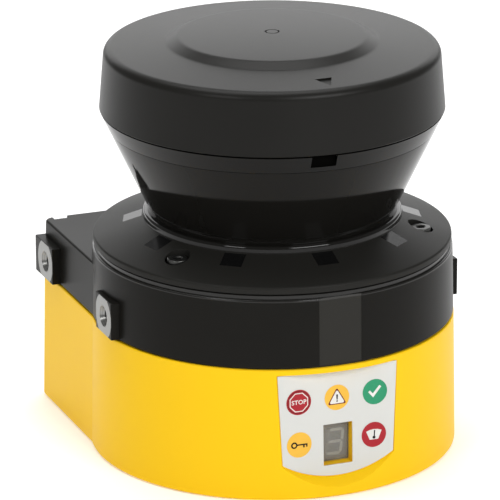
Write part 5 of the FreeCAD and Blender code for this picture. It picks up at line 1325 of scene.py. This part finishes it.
@dataclass
class UpperHousing:
    """The black casting with deck, tower, rim, bosses and threads."""

    finishes: Finishes
    form: HousingForm = field(default_factory=HousingForm)
    bottom: float = 37.5
    deck: float = 52.5
    tower: float = 56.4
    rim: float = 48.7
    rim_top: float = 57.6
    wall: float = 3.0
    hollow_bend: float = 0.6
    strip_half: float = 6.1
    strip_depth: float = 0.55
    boss_face: float = 51.0
    boss_top: float = 48.0
    boss_spans: Tuple[Point, ...] = ((-10.6, 1.6, 41.0), (38.0, 52.4, 39.0))
    thread: float = 2.1
    thread_height: float = 42.6
    thread_places: Row = (-4.5, 44.0)
    rear_thread: float = 43.6
    notch_half: float = 2.3
    notch_edge: float = 50.3
    seat: float = 45.2
    opening: float = 33.5
    hollow: float = 45.0
    bed: Tuple[Point, Point] = ((-3.4, -40.3, 53.0), (3.4, -35.3, 57.0))
    post: float = 4.6
    base_bore: float = 2.05
    bore: float = 1.55
    bores: Tuple[Tuple[float, Point, float], ...] = ((40.8, COVER_TURNS, 6),
                                                     (37.0, (20, 140, 260), 3.7))

    def build(self) -> None:
        """Build the casting and cut its threads, notches and hollows."""
        low, high = self.bottom * DRAFT, self.deck * DRAFT
        rows = [(low + 0.12, self.bottom), (low, self.bottom + 0.2)]
        body = self.form.block("casting", rows + rounding(high, self.deck, 0.7, True))
        foot, peak = self.form.radius - high, self.form.radius - self.tower * DRAFT
        rows = [(foot + 0.16, 45.0), (foot, self.deck)]
        rows += [(peak - extra, height) for extra, height
                 in rounding(0.0, self.tower, 0.5, True)]
        rows += [(self.rim, self.tower), (self.rim, self.rim_top - 0.2),
                 (self.rim - 0.2, self.rim_top)]
        Bench.combine(body, Join.ADD, Bench.turn("tower", rows, self.form.segments))
        hollow = replace(self.form, corner=self.hollow_bend).block(
            "hollow", [(0, 36.0), (0, self.deck - self.wall)], high + self.wall)
        Bench.combine(body, Join.CUT, Bench.drum("seat", (0, 0, 56), self.seat, 4, count=192),
                      Bench.drum("opening", (0, 0, 45), self.opening, 15, count=160), hollow,
                      Bench.drum("tower_hollow", (0, 0, 36), self.hollow, 16, count=160))
        self.bosses(body)
        for x in (-self.rear_thread, self.rear_thread):
            low = (x - self.notch_half, self.notch_edge, self.notch_edge)
            notch = Bench.brick("notch", low, (x + self.notch_half, 56, 54))
            Bench.combine(body, Join.CUT, notch)
        self.strip(body)
        for turn in WINDOW_TURNS:
            bed = Bench.brick("bed", *self.bed)
            Bench.swing(bed, turn)
            Bench.combine(body, Join.CUT, bed)
        for x, y in self.form.screws:
            post = Bench.drum("post", (x, y, self.bottom), self.post, 9.5)
            Bench.combine(body, Join.ADD, post)
            bore = Bench.drum("bore", (x, y, 37), self.base_bore, 8.5, count=32)
            Bench.combine(body, Join.CUT, bore)
        for circle, turns, length in self.bores:
            for turn in turns:
                bore = Bench.drum("bore", (*spot_at(circle, turn), 51.5), self.bore, length,
                                  count=24)
                Bench.combine(body, Join.CUT, bore)
        Bench.settle(body, self.finishes.black, "black_body", nodes=["upper_housing"], smooth=26)

    def bosses(self, body: Object) -> None:
        """Add the four side bosses and cut all mounting holes.

        Args:
            body: the casting.
        """
        face, level = self.boss_face, self.thread_height
        for side in (-1, 1):
            for low, high, root in self.boss_spans:
                first, last = sorted((side * root, side * face))
                boss = Bench.brick("boss", (first, low, self.bottom), (last, high, self.boss_top))
                Bench.soften(boss, 0.3)
                Bench.combine(body, Join.ADD, boss)
            for y in self.thread_places:
                hole = Bench.drum("hole", (side * (face + 2), y, level), self.thread, -side * 9.5,
                                  Axis.X)
                Bench.combine(body, Join.CUT, hole, self.mouth((side * face, y, level), side))
            rear = (side * self.rear_thread, 55.0, level)
            Bench.combine(body, Join.CUT, Bench.drum("hole", rear, self.thread, -8.4, Axis.Y))

    def mouth(self, middle: Point, side: int) -> Object:
        """A short countersink at a thread's mouth.

        Args:
            middle: the middle of its height in millimetres.
            side: -1 on the left, 1 on the right.

        Returns:
            The cone.
        """
        Bench.clear()
        bpy.ops.mesh.primitive_cone_add(vertices=48, radius1=4.0 * MM, radius2=1.9 * MM,
                                        depth=3.0 * MM, location=tuple(Vector(middle) * MM),
                                        rotation=(0, -side * math.pi / 2, 0))
        cone = bpy.context.object
        Bench.apply(cone)
        return cone

    def strip(self, body: Object) -> None:
        """Cut the flat strip into the round front.

        Args:
            body: the casting.
        """
        level, half = self.form.radius - self.strip_depth, self.strip_half
        front = [(x, z * DRAFT - level, z) for x, z in ((-half, 37.0), (half, 37.0),
                                                        (half, 58.0), (-half, 58.0))]
        Bench.combine(body, Join.CUT, Bench.plate("strip", front, (0, -5, 0)))


@dataclass
class DisplayPanel:
    """The printed signs with their light guides, and the digit."""

    finishes: Finishes
    face: float = 48.2
    tilt: float = 2.0
    disc: float = 3.55
    pitch: float = 11.2
    upper: float = 27.2
    lower: float = 15.2
    skin: float = 0.03
    proud: float = 0.02
    guide: float = 1.6
    digit_half: float = 2.05
    digit_tall: float = 3.4
    digit_bar: float = 0.8
    digit_depth: float = 44.72
    digit_lean: float = 0.12
    digit_spot: Place = (0.25, 13.5)

    def mount(self, piece: Object, u: float, v: float) -> None:
        """Stand a flat piece on the leaning panel.

        Args:
            piece: the piece, drawn lying at the origin.
            u: its place across.
            v: its height.
        """
        lean = math.radians(self.tilt)
        piece.rotation_euler = (math.pi / 2 - lean, 0, 0)
        piece.location = Vector((u, -self.face + v * math.tan(lean), v)) * MM
        Bench.apply(piece)

    def flat(self, name: str, outline: Sequence[Place], layer: int,
             material: Material, spot: Place) -> None:
        """Print a flat shape on the panel.

        Args:
            name: the piece's name.
            outline: its corners, relative to the sign's middle.
            layer: which layer it is printed in, from 1.
            material: its ink.
            spot: the sign's middle on the panel.
        """
        low = self.proud + self.skin * (layer - 1)
        piece = Bench.plate(name, [(u, v, low) for u, v in outline], (0, 0, self.skin))
        self.mount(piece, *spot)
        Bench.settle(piece, material, "label", smooth=0)

    def ground(self, name: str, spot: Place, material: Material, number: int) -> None:
        """Print a sign's round field and set its light guide behind it.

        Args:
            name: the sign's name.
            spot: its middle on the panel.
            material: the field's ink.
            number: the number of the light guide's node.
        """
        node = "light_guide_%d" % number
        outline = round_corner((0, 0), self.disc, 0, 356, 63)
        self.flat(name + "_field", outline, 1, material, spot)
        near = self.face - spot[1] * math.tan(math.radians(self.tilt)) - 0.08
        far = -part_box(node)[1][1] / MM
        rod = Bench.drum(name + "_guide", (spot[0], -near, spot[1]), self.guide, near - far,
                         Axis.Y)
        Bench.soften(rod, 0.15)
        Bench.settle(rod, self.finishes.clear, "light_guide", nodes=[node])

    def word(self, spot: Place) -> None:
        """Print the word on the stop sign.

        Args:
            spot: the sign's middle on the panel.
        """
        Bench.clear()
        bpy.ops.object.text_add(location=(0, 0, 0))
        word = bpy.context.object
        for key, value in {"body": "STOP", "size": 1.68 * MM, "align_x": "CENTER",
                           "align_y": "CENTER", "extrude": 0.015 * MM, "offset": 0.035 * MM,
                           "space_character": 1.08}.items():
            setattr(word.data, key, value)
        Bench.hold(word)
        bpy.ops.object.convert(target="MESH")
        word = bpy.context.object
        word.name = "stop_word"
        Bench.edit()
        Bench.tidy()
        bpy.ops.transform.translate(value=(0, 0, 0.185 * MM))
        Bench.leave()
        self.mount(word, *spot)
        Bench.settle(word, self.finishes.white, "label", smooth=0)

    def triangle(self, radius: float) -> List[Place]:
        """Draw the warning sign's rounded triangle.

        Args:
            radius: distance of its tips from the middle.

        Returns:
            The corners in order.
        """
        outline: List[Place] = []
        for turn in (90, 210, 330):
            middle = (math.cos(math.radians(turn)) * (radius - 0.5),
                      math.sin(math.radians(turn)) * (radius - 0.5) - 0.35)
            outline += round_corner(middle, 0.35, turn - 60, turn + 60, 5)
        return outline

    def signs(self) -> List[Tuple[str, Place, Material, List[Print]]]:
        """List the five signs in the order of their light guides.

        Returns:
            Rows of name, middle on the panel, ink of the field, and prints on it.
        """
        red, white, maroon = self.finishes.red, self.finishes.white, self.finishes.maroon
        amber, green, ink = self.finishes.amber, self.finishes.green, self.finishes.ink
        return [
            ("stop", (-self.pitch, self.upper), red, [
                ("ring", round_corner((0, 0), self.disc - 0.3, 0, 356, 63), 2, maroon),
                ("disc", round_corner((0, 0), self.disc - 0.55, 0, 356, 63), 3, red),
                ("rim_octagon", round_corner((0, 0), 2.86, 22.5, 337.5, 7), 4, white),
                ("field_octagon", round_corner((0, 0), 2.58, 22.5, 337.5, 7), 5, red)]),
            ("warning", (-0.2, self.upper - 0.1), amber, [
                ("rim", self.triangle(2.95), 2, maroon), ("field", self.triangle(2.42), 3, white),
                ("bar", [(-0.26, 0.85), (-0.14, -0.62), (0.14, -0.62), (0.26, 0.85)], 4, ink),
                ("dot", round_corner((0, -1.0), 0.22, 0, 342, 19), 4, ink)]),
            ("tick", (self.pitch - 0.4, self.upper), green, [
                ("mark", [(-1.95, 0.10), (-1.45, 0.55), (-0.62, -0.42), (1.28, 1.75),
                          (1.85, 1.32), (-0.55, -1.55)], 2, white)]),
            ("key", (-self.pitch, self.lower), amber, [
                ("bow", round_corner((-1.45, 0.0), 0.92, 0, 350, 35), 2, ink),
                ("hole", round_corner((-1.45, 0.0), 0.48, 0, 350, 29), 3, amber),
                ("blade", [(-0.62, 0.19), (2.35, 0.19), (2.35, -0.75), (1.95, -0.75),
                           (1.95, -0.19), (1.55, -0.19), (1.55, -0.85), (1.10, -0.85),
                           (1.10, -0.19), (-0.62, -0.19)], 2, ink)]),
            ("wiper", (self.pitch - 0.8, self.lower - 0.1), red, [
                ("screen", [(-1.25, -1.35), (1.25, -1.35), (2.25, 1.05), (1.2, 1.42),
                            (0.0, 1.55), (-1.2, 1.42), (-2.25, 1.05)], 2, white),
                ("arm", [(-0.10, -1.2), (0.20, -1.2), (0.36, 1.25), (0.02, 1.25)], 3, ink),
                ("pivot", round_corner((0.02, -0.75), 0.42, 0, 345, 23), 4, ink)])]

    def digit(self) -> None:
        """Set the seven segments behind the display's glass, five of them lit."""
        half, tall, bar = self.digit_half, self.digit_tall, self.digit_bar / 2
        trim = self.digit_bar * 0.62
        reach = half - trim
        shapes = [[(-reach - bar, v), (-reach, v + bar), (reach, v + bar), (reach + bar, v),
                   (reach, v - bar), (-reach, v - bar)] for v in (tall, 0.0, -tall)]
        for u in (-half, half):
            for low, high in ((trim - tall, -trim), (trim, tall - trim)):
                shapes.append([(u, low - bar), (u + bar, low), (u + bar, high), (u, high + bar),
                               (u - bar, high), (u - bar, low)])
        aside, middle = self.digit_spot
        pieces = []
        for shape in shapes:
            outline = [(u + v * self.digit_lean + aside, -self.digit_depth, middle + v)
                       for u, v in shape]
            pieces.append(Bench.plate("segment", outline, (0, 0.1, 0)))
        lit = Bench.gather(pieces[:3] + pieces[5:], "digit_segments")
        Bench.settle(lit, self.finishes.digit_light, "digit", smooth=0)
        unlit = Bench.gather(pieces[3:5], "digit_unlit")
        Bench.settle(unlit, self.finishes.digit_dim, "digit", smooth=0)

    def build(self) -> None:
        """Print all signs and set the digit in."""
        for number, (name, spot, material, prints) in enumerate(self.signs(), 1):
            self.ground(name, spot, material, number)
            for part, outline, layer, ink in prints:
                self.flat(name + "_" + part, outline, layer, ink, spot)
            if name == "stop":
                self.word(spot)
        self.digit()


@dataclass
class CoverScrews:
    """Three black socket screws in the flange's recesses."""

    finishes: Finishes
    circle: float = 40.8
    foot: float = 51.7
    seat: float = 59.32
    top: float = 62.4
    shank: float = 1.5
    head: float = 2.8
    edge: float = 0.35
    socket: float = 1.25
    twists: Point = (0.0, 72.0, 120.0)

    def build(self) -> None:
        """Turn one screw, cut its socket and copy it round the flange."""
        shank, head, edge = self.shank, self.head, self.edge
        rows = [(0.9, self.foot), (shank - 0.1, self.foot + 0.4)]
        height = self.foot + 0.4
        while height < self.seat - 0.6:
            rows += [(shank, height + 0.12), (shank - 0.18, height + 0.37)]
            height += 0.5
        rows += [(shank, self.seat - 0.12), (shank, self.seat), (head, self.seat),
                 (head, self.top - edge)]
        rows += [(head - edge + u, self.top - edge + v)
                 for u, v in round_corner((0, 0), edge, 0, 90, 4)[1:]]
        screw = Bench.turn("cover_screw_set", rows, 64)
        socket = Bench.drum("socket", (0, 0, self.top - 1.4), self.socket, 2.0, count=6)
        lead = Bench.turn("lead", [(self.socket + 0.25, self.top + 0.01),
                                   (0.9, self.top - 0.42)], 48)
        Bench.combine(screw, Join.CUT, socket, lead)
        Bench.smooth(screw, 32)
        pieces = [screw, screw.copy(), screw.copy()]
        for piece in pieces[1:]:
            piece.data = screw.data.copy()
            bpy.context.collection.objects.link(piece)
        for piece, turn, twist in zip(pieces, COVER_TURNS, self.twists):
            piece.location = Vector((*spot_at(self.circle, turn), 0)) * MM
            Bench.swing(piece, twist)
        joined = Bench.gather(pieces, "cover_screw_set")
        Bench.settle(joined, self.finishes.dark_steel, "dark_steel", nodes=["cover_screws"],
                     smooth=32)


@dataclass(frozen=True)
class Lamp:
    """A soft rectangular lamp, with its size in metres and its power in watts."""

    name: str
    place: Point
    aim: Point
    size: Tuple[float, float]
    power: float

    def build(self) -> None:
        """Hang the lamp and aim it."""
        data = bpy.data.lights.new(self.name, "AREA")
        data.shape = "RECTANGLE"
        data.size, data.size_y = self.size
        data.energy = self.power
        lamp = bpy.data.objects.new(self.name, data)
        bpy.context.collection.objects.link(lamp)
        way = Vector(self.aim) - Vector(self.place)
        lamp.matrix_world = (Matrix.Translation(self.place)
                             @ way.to_track_quat("-Z", "Y").to_matrix().to_4x4())


@dataclass
class Studio:
    """Floor, light and camera."""

    azimuth: float = math.radians(-21.3)
    elevation: float = math.radians(19.0)
    distance: float = 1.231
    lens: float = 322.9
    aside: float = -6.13
    height: float = 53.6
    roll: float = -0.15
    floor_glow: float = 0.19
    world_light: float = 0.24
    lamps: Tuple[Lamp, ...] = (
        Lamp("top", (0.0, 0.3, 1.3), (0, 0.1, 0.0), (1.2, 0.9), 12),
        Lamp("back", (0.9, 2.3, 0.95), (0, 0, 0.06), (3.2, 1.5), 26),
        Lamp("left", (-1.0, -0.66, 0.8), (0, 0, 0.05), (0.4, 0.3), 3.2),
        Lamp("front", (0.3, -1.2, 0.85), (0, 0, 0.04), (0.8, 0.45), 10.0))

    def camera(self) -> None:
        """Set the camera at the photograph's angle."""
        back = Vector((math.sin(self.azimuth) * math.cos(self.elevation),
                       -math.cos(self.azimuth) * math.cos(self.elevation),
                       math.sin(self.elevation)))
        right = Vector((math.cos(self.azimuth), math.sin(self.azimuth), 0))
        upward = back.cross(right)
        target = right * self.aside * MM + Vector((0, 0, self.height * MM))
        data = bpy.data.cameras.new("view")
        data.lens = self.lens
        data.sensor_width = 36
        data.clip_end = 20
        data.dof.use_dof = False
        camera = bpy.data.objects.new("view", data)
        bpy.context.collection.objects.link(camera)
        turn = Matrix((right, upward, back)).transposed().to_4x4()
        turn = turn @ Matrix.Rotation(math.radians(self.roll), 4, "Z")
        camera.matrix_world = Matrix.Translation(target + back * self.distance) @ turn
        bpy.context.scene.camera = camera

    def floor(self) -> None:
        """Lay a plain pale floor."""
        Bench.clear()
        bpy.ops.mesh.primitive_circle_add(vertices=96, radius=6, fill_type="NGON",
                                          location=(0, 0, -0.0002))
        floor = bpy.context.object
        floor.name = "floor"
        sheet = Sheet("floor_white")
        sheet.set(Base_Color=(0.97, 0.97, 0.97, 1), Roughness=0.9, Specular_IOR_Level=0.0,
                  Emission_Color=(1.0, 1.0, 1.0, 1), Emission_Strength=self.floor_glow)
        floor.data.materials.append(sheet.material)

    def build(self) -> None:
        """Set floor, world, lamps and camera."""
        self.floor()
        world = bpy.data.worlds.new("studio")
        world.use_nodes = True
        background = world.node_tree.nodes["Background"]
        background.inputs[0].default_value = (1, 1, 1, 1)
        background.inputs[1].default_value = self.world_light
        bpy.context.scene.world = world
        for lamp in self.lamps:
            lamp.build()
        bpy.context.scene.view_settings.view_transform = "Standard"
        self.camera()


def dress(materials: Dict[str, Material]) -> None:
    """Give the carried-over nodes their finishes by the record's slots.

    Args:
        materials: the finish of each slot.
    """
    slots = {part["node"]: part["material_slot"] for part in frame["record"]["subparts"]}
    for name, node in frame["nodes"].items():
        node.data.materials.clear()
        node.data.materials.append(materials[slots[name]])
        LOG.info("node %s: %s", name, slots[name])


def main() -> None:
    """Build everything in order and report it."""
    finishes = Finishes()
    for assembly in (HeadCap, OpticsCover, LowerHousing, UpperHousing, DisplayPanel,
                     CoverScrews):
        assembly(finishes).build()
    dress(finishes.by_slot())
    Studio().build()


if __name__ == "__main__":
    main()
